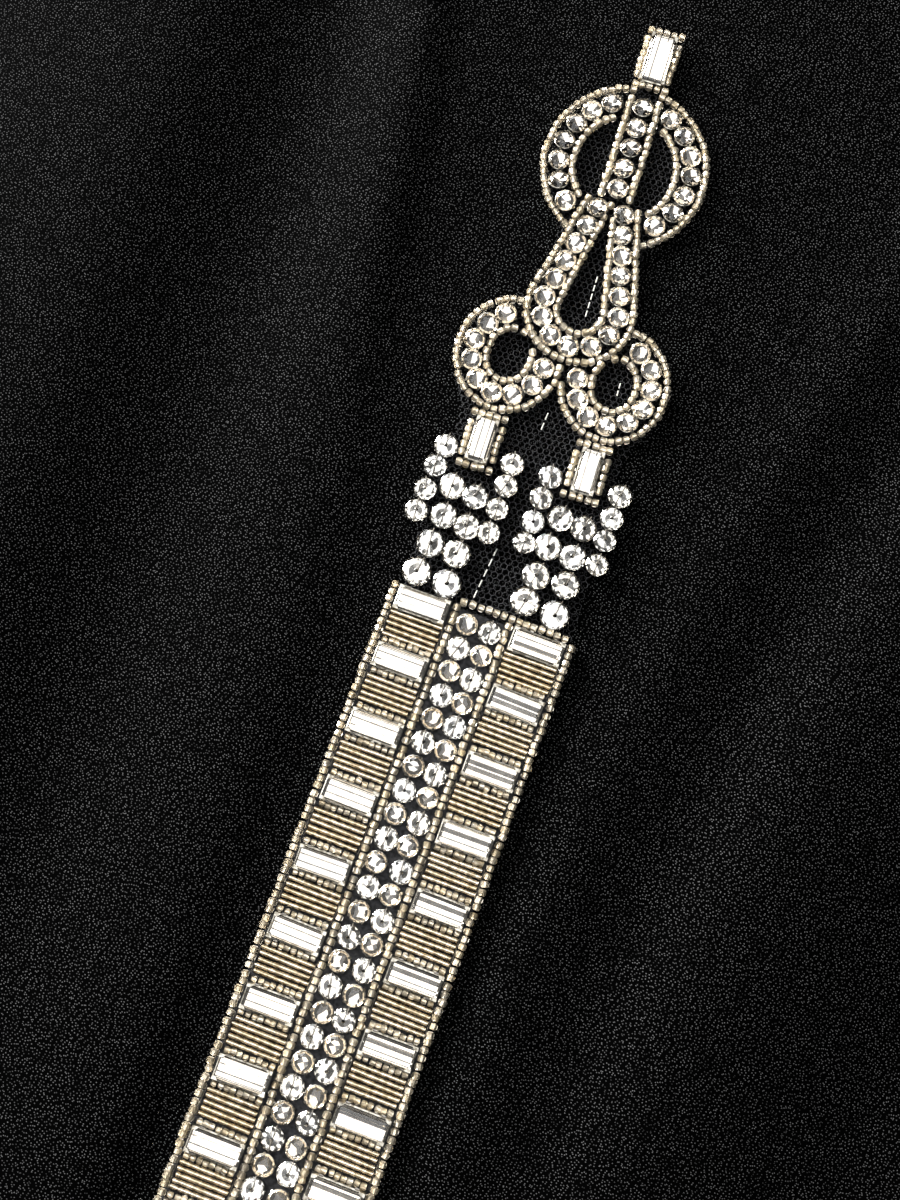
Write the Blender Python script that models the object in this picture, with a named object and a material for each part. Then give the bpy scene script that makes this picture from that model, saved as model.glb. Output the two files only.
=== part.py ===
"""Column gown laid flat, face up, with a beaded applique down its centre front.

Metres, +Z up. +Y runs from the hem to the neckline and +X across the gown. The origin is on the
surface that the gown lies on, under the middle of its outline. The applique has a plan frame of its
own: "across" to its right and "along" towards its tip, which points at the hem.
"""

import math
from typing import NamedTuple

import bmesh
import bpy

MM = 0.001

# The gown's cut
HEM_Y = -750 * MM
NECK_POINT_Y = 750 * MM
NECK_HALF_WIDTH = 125 * MM
FRONT_NECK_DROP = 45 * MM
BACK_NECK_DROP = 20 * MM
SHOULDER_TIP_X = 190 * MM
SHOULDER_DROP = 35 * MM
HEM_LIFT_AT_SIDES = 8 * MM
CLOTH_WALL = 1.2 * MM
GAP = 0.3 * MM

# The front cloth's lie over the back
LOFT = 4.5 * MM
CROWN_SWELL = 0.6 * MM
CROWN_SWELL_LENGTH = 330 * MM
CROWN_HALF_WIDTH = 18 * MM
CROWN_SHOULDER = 6 * MM
CROWN_SHIFT = 2.5 * MM
CROWN_SHIFT_ALONG = (-20 * MM, 40 * MM)
CROWN_FADE_ALONG = (125 * MM, 210 * MM)
SEAM_FADE = 70 * MM
NECK_FADE = (-10 * MM, 150 * MM)
FOLD_END_FADE_MM = 90
FLATTEST_TROUGH = 1 * MM
SHARP_EDGE = math.radians(40)

# The applique
NECKLINE_MARGIN = 4 * MM
BAY_PITCH = 11.5 * MM
BAY_COUNT = 22
FIRST_BAGUETTE = 2.4 * MM
SECOND_BAGUETTE = 12.4 * MM
BAND_HALF_WIDTH = 16 * MM
SIDE_COLUMN_INNER = 4 * MM
NET_WALL = 1.0 * MM
SEED_HEIGHT = 1.3 * MM
STONE_HEIGHT = 2.2 * MM
BAGUETTE_HEIGHT = 3.0 * MM
BAGUETTE_LENGTH = 8.5 * MM
BAGUETTE_WIDTH = 4.0 * MM
TABLE_INSET = 0.4 * MM
STONE_RADIUS = 1.55 * MM
STONE_SIDES = 6
STRING_GROUND_HEIGHT = 1.0 * MM
NET_INSET = 1.0 * MM
NET_BAND_ROWS = 16
STRAND_HALF_WIDTH = 3.3 * MM
CENTRE_STONE_PITCH = 4.2 * MM
CENTRE_STRING_OFFSET = 1.9 * MM
STRING_HALF_WIDTH = 1.75 * MM

# The motif past the band's end: a leaning axis, two small rings, a teardrop and a ring with a bar
MOTIF_LEAN = math.radians(3.2)
MOTIF_PIVOT = (-0.8 * MM, 20 * MM)
SMALL_RING_CENTRE = (9.15 * MM, 43.2 * MM)
SMALL_RING_RADII = (6.3 * MM, 7.3 * MM)
SMALL_RING_STONES = 9
SMALL_RING_OUTER_ARC = (98, 362)
SMALL_RING_INNER_ARC = (98, 382)
TEARDROP_CENTRE_ALONG = 54 * MM
TEARDROP_RADIUS = 6.5 * MM
TEARDROP_NECK = (1.85 * MM, 74.4 * MM)
TEARDROP_STONES = 17
RING_CENTRE_ALONG = 81.1 * MM
RING_RADII = (11.4 * MM, 12.2 * MM)
RING_ARC_STONES = 7
RING_OUTER_ARC = (104.5, 240)
RING_INNER_ARC = (116.8, 229)
BAR_START = 75.0 * MM
BAR_STONES = 5
BAR_PITCH = 3.9 * MM
TIP_END = 108.6 * MM
TIP_HALF_WIDTH = 3.4 * MM
TIP_STONE = (4.0 * MM, 6.4 * MM)
DROP_SETTING_ALONG = (22.8 * MM, 32.2 * MM)
DROP_STONE = (3.2 * MM, 7.0 * MM)
TASSEL_CENTRE = 9.15 * MM


class Station(NamedTuple):
    """Half the gown's laid width at one height of its outline."""

    name: str
    y: float
    half_width: float


SIDE_OUTLINE = (
    Station("hem", -750 * MM, 262 * MM),
    Station("calf", -500 * MM, 251 * MM),
    Station("knee", -250 * MM, 244 * MM),
    Station("thigh", -20 * MM, 247 * MM),
    Station("hip", 130 * MM, 245 * MM),
    Station("high hip", 230 * MM, 226 * MM),
    Station("waist", 335 * MM, 207 * MM),
    Station("under bust", 440 * MM, 220 * MM),
    Station("underarm", 530 * MM, 235 * MM),
    Station("armhole foot", 552 * MM, 207 * MM),
    Station("armhole curve", 590 * MM, 181 * MM),
    Station("across front", 640 * MM, 174 * MM),
    Station("armhole head", 685 * MM, 181 * MM),
    Station("shoulder tip", 715 * MM, 190 * MM),
    Station("neck point", 751 * MM, 190 * MM),
)


class Fold(NamedTuple):
    """A soft fold of the front cloth, in millimetres. A ridge rises, a trough has a negative rise.

    Its line runs through three plan points, from the hem end to the neck end.
    """

    name: str
    rise: float
    half_width: float
    hem_x: float
    hem_y: float
    mid_x: float
    mid_y: float
    neck_x: float
    neck_y: float


FOLDS = (
    Fold("crease beside the tip", -3.0, 6.5, 66, 200, 33, 385, 21, 480),
    Fold("trough beside the band", -3.6, 9, 22, 450, 24, 540, 33, 650),
    Fold("wide left trough", -3.8, 13, 118, 60, 72, 395, 46, 600),
    Fold("left ridge", 2.2, 11, 96, 60, 47, 415, 36, 520),
    Fold("outer left ridge", 2.6, 16, 150, 100, 98, 395, 76, 560),
    Fold("outer left trough", -3.0, 15, 168, 180, 132, 400, 108, 600),
    Fold("right trough", -3.8, 9, -84, 130, -34, 425, -25, 560),
    Fold("right ridge", 2.2, 12, -92, 300, -55, 448, -42, 560),
    Fold("second right trough", -3.6, 9, -96, 350, -66, 492, -52, 620),
    Fold("outer right ridge", 2.6, 13, -100, 400, -77, 510, -70, 640),
    Fold("deep crease", -3.6, 11, -92, 440, -92, 520, -98, 660),
    Fold("right skirt ridge", 3.4, 20, -160, -560, -128, -60, -96, 300),
    Fold("right skirt trough", -3.6, 17, -118, -740, -88, -330, -70, 90),
    Fold("centre skirt ridge", 3.8, 22, -38, -760, -26, -350, -30, 130),
    Fold("centre skirt trough", -3.4, 16, 12, -760, 14, -420, 6, 20),
    Fold("left skirt ridge", 4.2, 20, 74, -760, 62, -380, 56, 110),
    Fold("left skirt trough", -3.8, 18, 142, -760, 120, -330, 112, 40),
    Fold("left hem ridge", 3.2, 17, 196, -760, 180, -470, 168, -160),
    Fold("right hem ridge", 3.0, 16, -204, -760, -186, -520, -178, -260),
)

# Columns of the panels' grids, as fractions of the half width, and rows as heights on the centre line
FRONT_COLUMNS = (0, 0.04, 0.078, 0.1, 0.125, 0.15, 0.18, 0.22, 0.26, 0.3, 0.335, 0.37, 0.405, 0.44, 0.48,
                 0.56, 0.658, 0.76, 0.86, 0.95, 1)
BACK_COLUMNS = (0, 0.16, 0.32, 0.46, 0.57, 0.658, 0.85, 1)
UPPER_ROWS_FROM_Y = 310 * MM
UPPER_ROW_PITCH = 19.75 * MM
UPPER_ROWS = 20
LOWER_ROWS = 22


class DiscString(NamedTuple):
    """One string of flat round stones in a tassel, measured from the tassel's own middle."""

    name: str
    across: float
    first_along: float
    pitch: float
    count: int
    radius: float


DISC_STRINGS = (
    DiscString("1", -5.85 * MM, 24.9 * MM, 4.0 * MM, 4, 1.7 * MM),
    DiscString("2", -2.0 * MM, 18.3 * MM, 5.0 * MM, 4, 1.7 * MM),
    DiscString("3", 2.0 * MM, 18.3 * MM, 5.0 * MM, 4, 1.7 * MM),
    DiscString("4", 5.85 * MM, 24.9 * MM, 4.0 * MM, 4, 1.7 * MM),
)


class NetRow(NamedTuple):
    """The net's edges at one place along the applique, about the motif's own axis."""

    along: float
    left: float
    right: float


NET_ROWS = (
    NetRow(1.0 * MM, -15.0 * MM, 15.0 * MM),
    NetRow(9.0 * MM, -15.0 * MM, 15.0 * MM),
    NetRow(18.0 * MM, -15.5 * MM, 15.5 * MM),
    NetRow(30.0 * MM, -14.0 * MM, 14.0 * MM),
    NetRow(37.0 * MM, -16.6 * MM, 16.6 * MM),
    NetRow(43.0 * MM, -17.8 * MM, 17.8 * MM),
    NetRow(50.0 * MM, -15.5 * MM, 15.5 * MM),
    NetRow(55.0 * MM, -9.0 * MM, 9.0 * MM),
    NetRow(64.0 * MM, -7.0 * MM, 7.0 * MM),
    NetRow(70.0 * MM, -9.0 * MM, 9.0 * MM),
    NetRow(76.0 * MM, -13.0 * MM, 13.0 * MM),
    NetRow(82.0 * MM, -13.8 * MM, 13.8 * MM),
    NetRow(89.0 * MM, -11.5 * MM, 11.5 * MM),
    NetRow(94.5 * MM, -5.0 * MM, 5.0 * MM),
    NetRow(97.0 * MM, -2.8 * MM, 2.8 * MM),
    NetRow(107.6 * MM, -2.8 * MM, 2.8 * MM),
)

FRONT_NECK_Y = NECK_POINT_Y - FRONT_NECK_DROP
BAND_LENGTH = SECOND_BAGUETTE + (BAY_COUNT - 2) * BAY_PITCH + BAGUETTE_WIDTH
BAND_END_Y = FRONT_NECK_Y - NECKLINE_MARGIN - BAND_LENGTH


def smoothstep(value, low, high):
    """Ramp from 0 at low to 1 at high, level at both ends."""
    t = min(1.0, max(0.0, (value - low) / (high - low)))
    return t * t * (3 - 2 * t)


def half_width(y):
    """Half the gown's width at y, smooth through the outline's stations."""
    rows = SIDE_OUTLINE
    y = min(max(y, rows[0].y), rows[-1].y)
    i = max(k for k in range(len(rows) - 1) if rows[k].y <= y)
    low, high = rows[i], rows[i + 1]
    before, after = rows[max(i - 1, 0)], rows[min(i + 2, len(rows) - 1)]
    span = high.y - low.y
    slope_low = (high.half_width - before.half_width) / (high.y - before.y)
    slope_high = (after.half_width - low.half_width) / (after.y - low.y)
    t = (y - low.y) / span
    return ((2 * t ** 3 - 3 * t ** 2 + 1) * low.half_width + (t ** 3 - 2 * t ** 2 + t) * span * slope_low
            + (3 * t ** 2 - 2 * t ** 3) * high.half_width + (t ** 3 - t ** 2) * span * slope_high)


def top_edge(fraction, neck_drop):
    """Height of a panel's top edge: the neckline's ellipse, then the shoulder's slope."""
    x = abs(fraction) * SHOULDER_TIP_X
    if x < NECK_HALF_WIDTH:
        return NECK_POINT_Y - neck_drop * math.sqrt(1 - (x / NECK_HALF_WIDTH) ** 2)
    return NECK_POINT_Y - SHOULDER_DROP * (x - NECK_HALF_WIDTH) / (SHOULDER_TIP_X - NECK_HALF_WIDTH)


def panel_point(fraction, rise, neck_drop):
    """Plan point of a panel: fraction across from -1 to 1, rise from 0 at the hem to 1 at the top."""
    hem = HEM_Y + HEM_LIFT_AT_SIDES * fraction ** 2
    y = hem + rise * (top_edge(fraction, neck_drop) - hem)
    return fraction * half_width(y), y


def fold_line(fold, y):
    """X of a fold's line at y, both in millimetres: the parabola through its three points."""
    x0, x1, x2 = fold.hem_x, fold.mid_x, fold.neck_x
    y0, y1, y2 = fold.hem_y, fold.mid_y, fold.neck_y
    return (x0 * (y - y1) * (y - y2) / ((y0 - y1) * (y0 - y2))
            + x1 * (y - y0) * (y - y2) / ((y1 - y0) * (y1 - y2))
            + x2 * (y - y0) * (y - y1) / ((y2 - y0) * (y2 - y1)))


def fold_rise(fold, x, y):
    """What one fold adds to the front cloth's height at a plan point, all in millimetres."""
    runs_to_hem = fold.hem_y < HEM_Y / MM
    hem_fade = 1.0 if runs_to_hem else smoothstep(y, fold.hem_y, fold.hem_y + FOLD_END_FADE_MM)
    fade = hem_fade * smoothstep(fold.neck_y - y, 0, FOLD_END_FADE_MM)
    if fade == 0:
        return 0.0
    return fold.rise * fade * math.exp(-((x - fold_line(fold, y)) / fold.half_width) ** 2)


def front_lift(x, y):
    """How far the front cloth is lifted off the back one at a plan point.

    Under the applique it is a crown that the beads' weight keeps even; elsewhere the folds shape it.
    """
    crown = LOFT + CROWN_SWELL * math.sin(2 * math.pi * y / CROWN_SWELL_LENGTH)
    free = LOFT + MM * sum(fold_rise(fold, x / MM, y / MM) for fold in FOLDS)
    free = 0.5 * (free + math.hypot(free, FLATTEST_TROUGH))
    middle = CROWN_SHIFT * smoothstep(BAND_END_Y - y, *CROWN_SHIFT_ALONG)
    in_crown = smoothstep(CROWN_HALF_WIDTH + CROWN_SHOULDER - abs(x - middle), 0, CROWN_SHOULDER)
    in_crown *= 1 - smoothstep(BAND_END_Y - y, *CROWN_FADE_ALONG)
    lift = crown * in_crown + free * (1 - in_crown)
    seam = smoothstep(half_width(y) - abs(x), 0, SEAM_FADE)
    neck = smoothstep(FRONT_NECK_Y - y, *NECK_FADE)
    return lift * seam * neck


def front_inside(x, y):
    """Height of the front cloth's inner face."""
    return CLOTH_WALL + GAP + front_lift(x, y)


def net_inside(x, y):
    """Height of the net's lower face, just over the front cloth."""
    return front_inside(x, y) + CLOTH_WALL + GAP


def bead_base(x, y):
    """Height of the beadwork's flat underside, just over the net."""
    return net_inside(x, y) + NET_WALL + GAP


def on_gown(across, along):
    """Plan point on the gown of a point of the applique."""
    return -across, BAND_END_Y - along


def on_motif(across, along):
    """Plan point on the gown of a point about the motif's leaning axis."""
    da, dl = across, along - MOTIF_PIVOT[1]
    cos, sin = math.cos(MOTIF_LEAN), math.sin(MOTIF_LEAN)
    return on_gown(da * cos - dl * sin + MOTIF_PIVOT[0], da * sin + dl * cos + MOTIF_PIVOT[1])


def make_material(name, colour, roughness, metallic=0.0):
    """A plain finish for one node."""
    material = bpy.data.materials.new(name)
    material.use_nodes = True
    shader = material.node_tree.nodes["Principled BSDF"]
    shader.inputs["Base Color"].default_value = (*colour, 1)
    shader.inputs["Roughness"].default_value = roughness
    shader.inputs["Metallic"].default_value = metallic
    return material


def add_object(name, mesh_builder, material):
    """Put a bmesh into the scene as a named object, faces outwards."""
    bmesh.ops.recalc_face_normals(mesh_builder, faces=mesh_builder.faces)
    mesh = bpy.data.meshes.new(name)
    mesh_builder.to_mesh(mesh)
    mesh_builder.free()
    mesh.materials.append(material)
    thing = bpy.data.objects.new(name, mesh)
    bpy.context.scene.collection.objects.link(thing)
    return thing


def panel(name, columns, rises, neck_drop, inside, material):
    """A cloth panel: a grid of plan points as a wall between its inner and outer faces."""
    fractions = [-c for c in reversed(columns[1:])] + list(columns)
    builder = bmesh.new()
    grid = []
    for rise in rises:
        row = []
        for fraction in fractions:
            x, y = panel_point(fraction, rise, neck_drop)
            low = inside(x, y)
            row.append((builder.verts.new((x, y, low)), builder.verts.new((x, y, low + CLOTH_WALL))))
        grid.append(row)
    for below, above in zip(grid, grid[1:]):
        for k in range(len(fractions) - 1):
            a, b, c, d = below[k], below[k + 1], above[k + 1], above[k]
            builder.faces.new((a[0], d[0], c[0], b[0]))
            builder.faces.new((a[1], b[1], c[1], d[1]))
    rim = grid[0] + [row[-1] for row in grid[1:]] + grid[-1][-2::-1] + [row[0] for row in grid[-2:0:-1]]
    for here, there in zip(rim, rim[1:] + rim[:1]):
        builder.faces.new((here[0], there[0], there[1], here[1]))
    thing = add_object(name, builder, material)
    thing.data.shade_smooth()
    thing.data.set_sharp_from_angle(angle=SHARP_EDGE)
    return thing


class Cell(NamedTuple):
    """One patch of a relief: its corners' keys, and the closed outlines raised inside it."""

    corners: tuple
    raised: tuple = ()


def patch_corners(row, column=0):
    """Keys of a patch's four corners, where a key is a row and a column of the plan."""
    return (row, column), (row, column + 1), (row + 1, column + 1), (row + 1, column)


def ring_to_corners(builder, corners, ring):
    """Join a cell's corners to the ring raised inside it, walking round the ring's middle."""
    middle_x = sum(vert.co.x for vert in ring) / len(ring)
    middle_y = sum(vert.co.y for vert in ring) / len(ring)

    def bearing(vert):
        angle = math.atan2(vert.co.y - middle_y, vert.co.x - middle_x)
        first = math.atan2(ring[0].co.y - middle_y, ring[0].co.x - middle_x)
        return (angle - first) % (2 * math.pi)

    corner, here = max(corners, key=bearing), ring[0]
    for vert in sorted(corners + ring[1:], key=bearing) + [ring[0]]:
        builder.faces.new((corner, vert, here))
        if vert in corners:
            corner = vert
        else:
            here = vert


def relief(name, plan, cells, base, edge_height, material):
    """A wall with a plain inside whose outer points are raised where the beads are.

    plan maps a corner's key to its plan point, base gives the inside's height, edge_height the
    wall's height at the corners. Cells run anticlockwise seen from above.
    """
    builder = bmesh.new()
    low, top = {}, {}
    for key, (x, y) in plan.items():
        low[key] = builder.verts.new((x, y, base(x, y)))
        top[key] = builder.verts.new((x, y, base(x, y) + edge_height))
    directed = {edge for cell in cells for edge in zip(cell.corners, cell.corners[1:] + cell.corners[:1])}
    for cell in cells:
        builder.faces.new([low[key] for key in reversed(cell.corners)])
        outline = [top[key] for key in cell.corners]
        for points, height in cell.raised:
            ring = [builder.verts.new((x, y, base(x, y) + height)) for x, y in points]
            ring_to_corners(builder, outline, ring)
            outline = ring
        builder.faces.new(outline)
    for here, there in directed:
        if (there, here) not in directed:
            builder.faces.new((low[here], low[there], top[there], top[here]))
    return add_object(name, builder, material)


def polygon(place, across, along, radius, turn=0.0):
    """A round stone's outline about a point, placed on the gown."""
    angles = [turn + 2 * math.pi * i / STONE_SIDES for i in range(STONE_SIDES)]
    return [place(across + radius * math.cos(a), along + radius * math.sin(a)) for a in angles]


def rectangle(place, across, along, size_across, size_along):
    """A rectangle about a point, placed on the gown."""
    signs = ((-1, -1), (1, -1), (1, 1), (-1, 1))
    return [place(across + i * size_across / 2, along + j * size_along / 2) for i, j in signs]


def cut_stone(place, across, along, size_across, size_along):
    """The two outlines of a baguette: its girdle over the seeds, and its inset table."""
    girdle = rectangle(place, across, along, size_across, size_along)
    table = rectangle(place, across, along, size_across - 2 * TABLE_INSET, size_along - 2 * TABLE_INSET)
    return (girdle, SEED_HEIGHT), (table, BAGUETTE_HEIGHT)


def baguette_positions():
    """Where the band's baguettes lie along it, from its tip end to the neckline."""
    return [-FIRST_BAGUETTE] + [-SECOND_BAGUETTE - i * BAY_PITCH for i in range(BAY_COUNT - 1)]


def band_column(name, side, material):
    """A side column of the band: seed and bugle ground with a raised baguette in each bay."""
    inner, outer = side * SIDE_COLUMN_INNER, side * BAND_HALF_WIDTH
    left, right = min(inner, outer), max(inner, outer)
    half_cell = BAGUETTE_WIDTH / 2 + TABLE_INSET
    centres = baguette_positions()
    levels = []
    for centre in reversed(centres):
        levels += [centre - half_cell, centre + half_cell]
    levels[0], levels[-1] = -BAND_LENGTH, 0.0
    plan = {(i, k): on_gown((left, right)[k], level) for i, level in enumerate(levels) for k in (0, 1)}
    cells = []
    for i in range(len(levels) - 1):
        raised = ()
        if i % 2 == 0:
            centre = centres[len(centres) - 1 - i // 2]
            middle = side * (BAND_HALF_WIDTH + SIDE_COLUMN_INNER) / 2
            raised = cut_stone(on_gown, middle, centre, BAGUETTE_LENGTH, BAGUETTE_WIDTH)
        cells.append(Cell(patch_corners(i), raised))
    return relief(name, plan, cells, bead_base, SEED_HEIGHT, material)


def stone_string(name, place, across, start, pitch, count, radius, half, material):
    """A straight string of round stones, from its start towards the tip."""
    plan = {}
    for i in range(count + 1):
        plan[(i, 0)] = place(across - half, start + i * pitch)
        plan[(i, 1)] = place(across + half, start + i * pitch)
    cells = []
    for i in range(count):
        ring = polygon(place, across, start + (i + 0.5) * pitch, radius)
        cells.append(Cell(patch_corners(i), ((ring, STONE_HEIGHT),)))
    return relief(name, plan, cells, bead_base, STRING_GROUND_HEIGHT, material)


def resample(points, count):
    """Count + 1 points at even steps along a polyline."""
    lengths = [0.0]
    for a, b in zip(points, points[1:]):
        lengths.append(lengths[-1] + math.dist(a, b))
    out, k = [], 0
    for i in range(count + 1):
        target = lengths[-1] * i / count
        while k < len(points) - 2 and lengths[k + 1] < target:
            k += 1
        t = (target - lengths[k]) / (lengths[k + 1] - lengths[k])
        out.append(tuple(p + t * (q - p) for p, q in zip(points[k], points[k + 1])))
    return out


def stone_strand(name, left_edge, right_edge, stones, material, mirror=1):
    """A curved strand with a row of raised stones between two edges, each a polyline about the axis.

    left_edge lies to the left of the way the strand runs. mirror of -1 gives the strand's twin.
    """
    lefts, rights = resample(left_edge, 2 * stones), resample(right_edge, 2 * stones)
    plan, cells = {}, []
    for i in range(stones + 1):
        for k, edge in enumerate((lefts, rights)):
            across, along = edge[2 * i]
            plan[(i, k)] = on_motif(mirror * across, along)
    for i in range(stones):
        a, b = lefts[2 * i + 1], rights[2 * i + 1]
        across, along = mirror * (a[0] + b[0]) / 2, (a[1] + b[1]) / 2
        heading = math.atan2(b[1] - a[1], mirror * (b[0] - a[0]))
        ring = polygon(on_motif, across, along, STONE_RADIUS, heading)
        corners = patch_corners(i) if mirror > 0 else tuple(reversed(patch_corners(i)))
        cells.append(Cell(corners, ((ring, STONE_HEIGHT),)))
    return relief(name, plan, cells, bead_base, SEED_HEIGHT, material)


def ellipse_arc(centre, radii, start, end, steps=48):
    """Points of an ellipse's arc, angles in degrees from the across axis."""
    angles = [math.radians(start + (end - start) * i / steps) for i in range(steps + 1)]
    return [(centre[0] + radii[0] * math.cos(a), centre[1] + radii[1] * math.sin(a)) for a in angles]


def grown(radii, by):
    """An ellipse's radii, both changed by the same amount."""
    return radii[0] + by, radii[1] + by


def small_ring(name, mirror, material):
    """A small ring: a strand round its hole, open where the teardrop passes over it."""
    centre = (-SMALL_RING_CENTRE[0], SMALL_RING_CENTRE[1])
    outer = ellipse_arc(centre, grown(SMALL_RING_RADII, STRAND_HALF_WIDTH), *SMALL_RING_OUTER_ARC)
    inner = ellipse_arc(centre, grown(SMALL_RING_RADII, -STRAND_HALF_WIDTH), *SMALL_RING_INNER_ARC)
    outer = [(min(across, -GAP / 2), along) for across, along in outer]
    return stone_strand(name, inner, outer, SMALL_RING_STONES, material, mirror)


def teardrop(name, material):
    """The teardrop: one strand from its neck, round its foot and back to the neck."""
    def edge(radius, neck_across):
        neck = (-neck_across, TEARDROP_NECK[1])
        reach = math.dist(neck, (0, TEARDROP_CENTRE_ALONG))
        towards = math.atan2(neck[1] - TEARDROP_CENTRE_ALONG, neck[0])
        touch = math.degrees(towards + math.acos(radius / reach))
        arc = ellipse_arc((0, TEARDROP_CENTRE_ALONG), (radius, radius), touch, 540 - touch)
        return [neck] + arc + [(neck_across, neck[1])]

    outer = edge(TEARDROP_RADIUS + STRAND_HALF_WIDTH, TEARDROP_NECK[0] + STRAND_HALF_WIDTH)
    inner = edge(TEARDROP_RADIUS - STRAND_HALF_WIDTH, GAP)
    return stone_strand(name, inner, outer, TEARDROP_STONES, material)


def ring_arc(name, mirror, material):
    """One arc of the large ring, from the bar at its top to the teardrop at its foot."""
    centre = (0, RING_CENTRE_ALONG)
    outer = ellipse_arc(centre, grown(RING_RADII, STRAND_HALF_WIDTH), *RING_OUTER_ARC)
    inner = ellipse_arc(centre, grown(RING_RADII, -STRAND_HALF_WIDTH), *RING_INNER_ARC)
    return stone_strand(name, inner, outer, RING_ARC_STONES, material, mirror)


def framed_stone(name, across, along_range, half, stone, material):
    """A baguette in its frame of seeds."""
    low, high = along_range
    plan = {(i, k): on_motif(across + (2 * k - 1) * half, (low, high)[i]) for i in (0, 1) for k in (0, 1)}
    raised = cut_stone(on_motif, across, (low + high) / 2, *stone)
    return relief(name, plan, [Cell(patch_corners(0), raised)], bead_base, SEED_HEIGHT, material)


def net_backing(name, material):
    """The net: a plain wall under the band and the motif, a little inside their edges."""
    half, length = BAND_HALF_WIDTH - NET_INSET, BAND_LENGTH - NET_INSET
    rows = []
    for i in range(NET_BAND_ROWS):
        along = -length + i * length / NET_BAND_ROWS
        rows.append([on_gown(across, along) for across in (-half, 0, half)])
    for row in NET_ROWS:
        middle = (row.left + row.right) / 2
        rows.append([on_motif(across, row.along) for across in (row.left, middle, row.right)])
    plan = {(i, k): point for i, row in enumerate(rows) for k, point in enumerate(row)}
    cells = [Cell(patch_corners(i, k)) for i in range(len(rows) - 1) for k in (0, 1)]
    return relief(name, plan, cells, net_inside, NET_WALL, material)


def centre_bar(name, material):
    """The bar of stones down the large ring's middle."""
    end = BAR_START + BAR_STONES * BAR_PITCH
    left_edge = [(-STRAND_HALF_WIDTH, BAR_START), (-STRAND_HALF_WIDTH, end)]
    right_edge = [(STRAND_HALF_WIDTH, BAR_START), (STRAND_HALF_WIDTH, end)]
    return stone_strand(name, left_edge, right_edge, BAR_STONES, material)


def tassel(side_name, side, materials):
    """A tassel's strings of discs, hanging straight from their setting."""
    middle = side * TASSEL_CENTRE + MOTIF_PIVOT[0]
    drop = side * TASSEL_CENTRE * math.sin(MOTIF_LEAN)
    for i, row in enumerate(DISC_STRINGS):
        start = row.first_along + drop - (row.count - 0.5) * row.pitch
        stone_string(f"tassel_{side_name}_{row.name}", on_gown, middle + row.across, start, row.pitch,
                     row.count, row.radius, STRING_HALF_WIDTH, materials[i % 2])


def main():
    """Build every piece of the gown."""
    for thing in list(bpy.data.objects):
        bpy.data.objects.remove(thing, do_unlink=True)
    crepe = make_material("black crepe", (0.011, 0.011, 0.012), 0.82)
    crepe_back = make_material("black crepe back", (0.009, 0.009, 0.010), 0.86)
    tulle = make_material("black tulle", (0.014, 0.014, 0.015), 0.7)
    beads = make_material("silver lined beads", (0.62, 0.57, 0.50), 0.25, 0.6)
    stones = make_material("foiled crystal", (0.80, 0.79, 0.78), 0.12, 0.7)
    discs = make_material("clear discs", (0.74, 0.74, 0.76), 0.15, 0.5)

    upper = [UPPER_ROWS_FROM_Y + i * UPPER_ROW_PITCH for i in range(UPPER_ROWS)]
    lower = [HEM_Y + i * (UPPER_ROWS_FROM_Y - HEM_Y) / LOWER_ROWS for i in range(LOWER_ROWS)]
    rises = [(y - HEM_Y) / (FRONT_NECK_Y - HEM_Y) for y in lower + upper] + [1.0]
    panel("front_panel", FRONT_COLUMNS, rises, FRONT_NECK_DROP, front_inside, crepe)
    panel("back_panel", BACK_COLUMNS, rises, BACK_NECK_DROP, lambda x, y: 0.0, crepe_back)
    net_backing("net_backing", tulle)

    centre_count = int((BAND_LENGTH - MM) / CENTRE_STONE_PITCH)
    for side_name, side in (("left", -1), ("right", 1)):
        band_column(f"band_{side_name}", side, beads)
        stone_string(f"band_centre_{side_name}", on_gown, side * CENTRE_STRING_OFFSET,
                     -MM - centre_count * CENTRE_STONE_PITCH, CENTRE_STONE_PITCH, centre_count,
                     STONE_RADIUS, STRING_HALF_WIDTH, stones)
        small_ring(f"small_ring_{side_name}", -side, stones)
        ring_arc(f"ring_arc_{side_name}", -side, stones)
        framed_stone(f"drop_setting_{side_name}", side * TASSEL_CENTRE, DROP_SETTING_ALONG,
                     STRAND_HALF_WIDTH, DROP_STONE, beads)
        tassel(side_name, side, (discs, stones))
    teardrop("teardrop", stones)
    centre_bar("centre_bar", stones)
    bar_end = BAR_START + BAR_STONES * BAR_PITCH
    framed_stone("tip_setting", 0, (bar_end + GAP, TIP_END), TIP_HALF_WIDTH, TIP_STONE, beads)


main()
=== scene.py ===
"""The looks of a column gown laid flat: black crepe and a beaded applique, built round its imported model.

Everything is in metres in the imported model's frame: +Z up from the surface that the gown lies on, +Y
from the hem to the neckline, +X across. The applique has a plan frame of its own: "across" to its
right and "along" towards its tip, which points at the hem.
"""

import logging
import math
from collections.abc import Sequence
from dataclasses import dataclass, field
from enum import Enum, IntEnum
from typing import NamedTuple

import bpy
import numpy as np
from mathutils import Matrix, Vector


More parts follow.
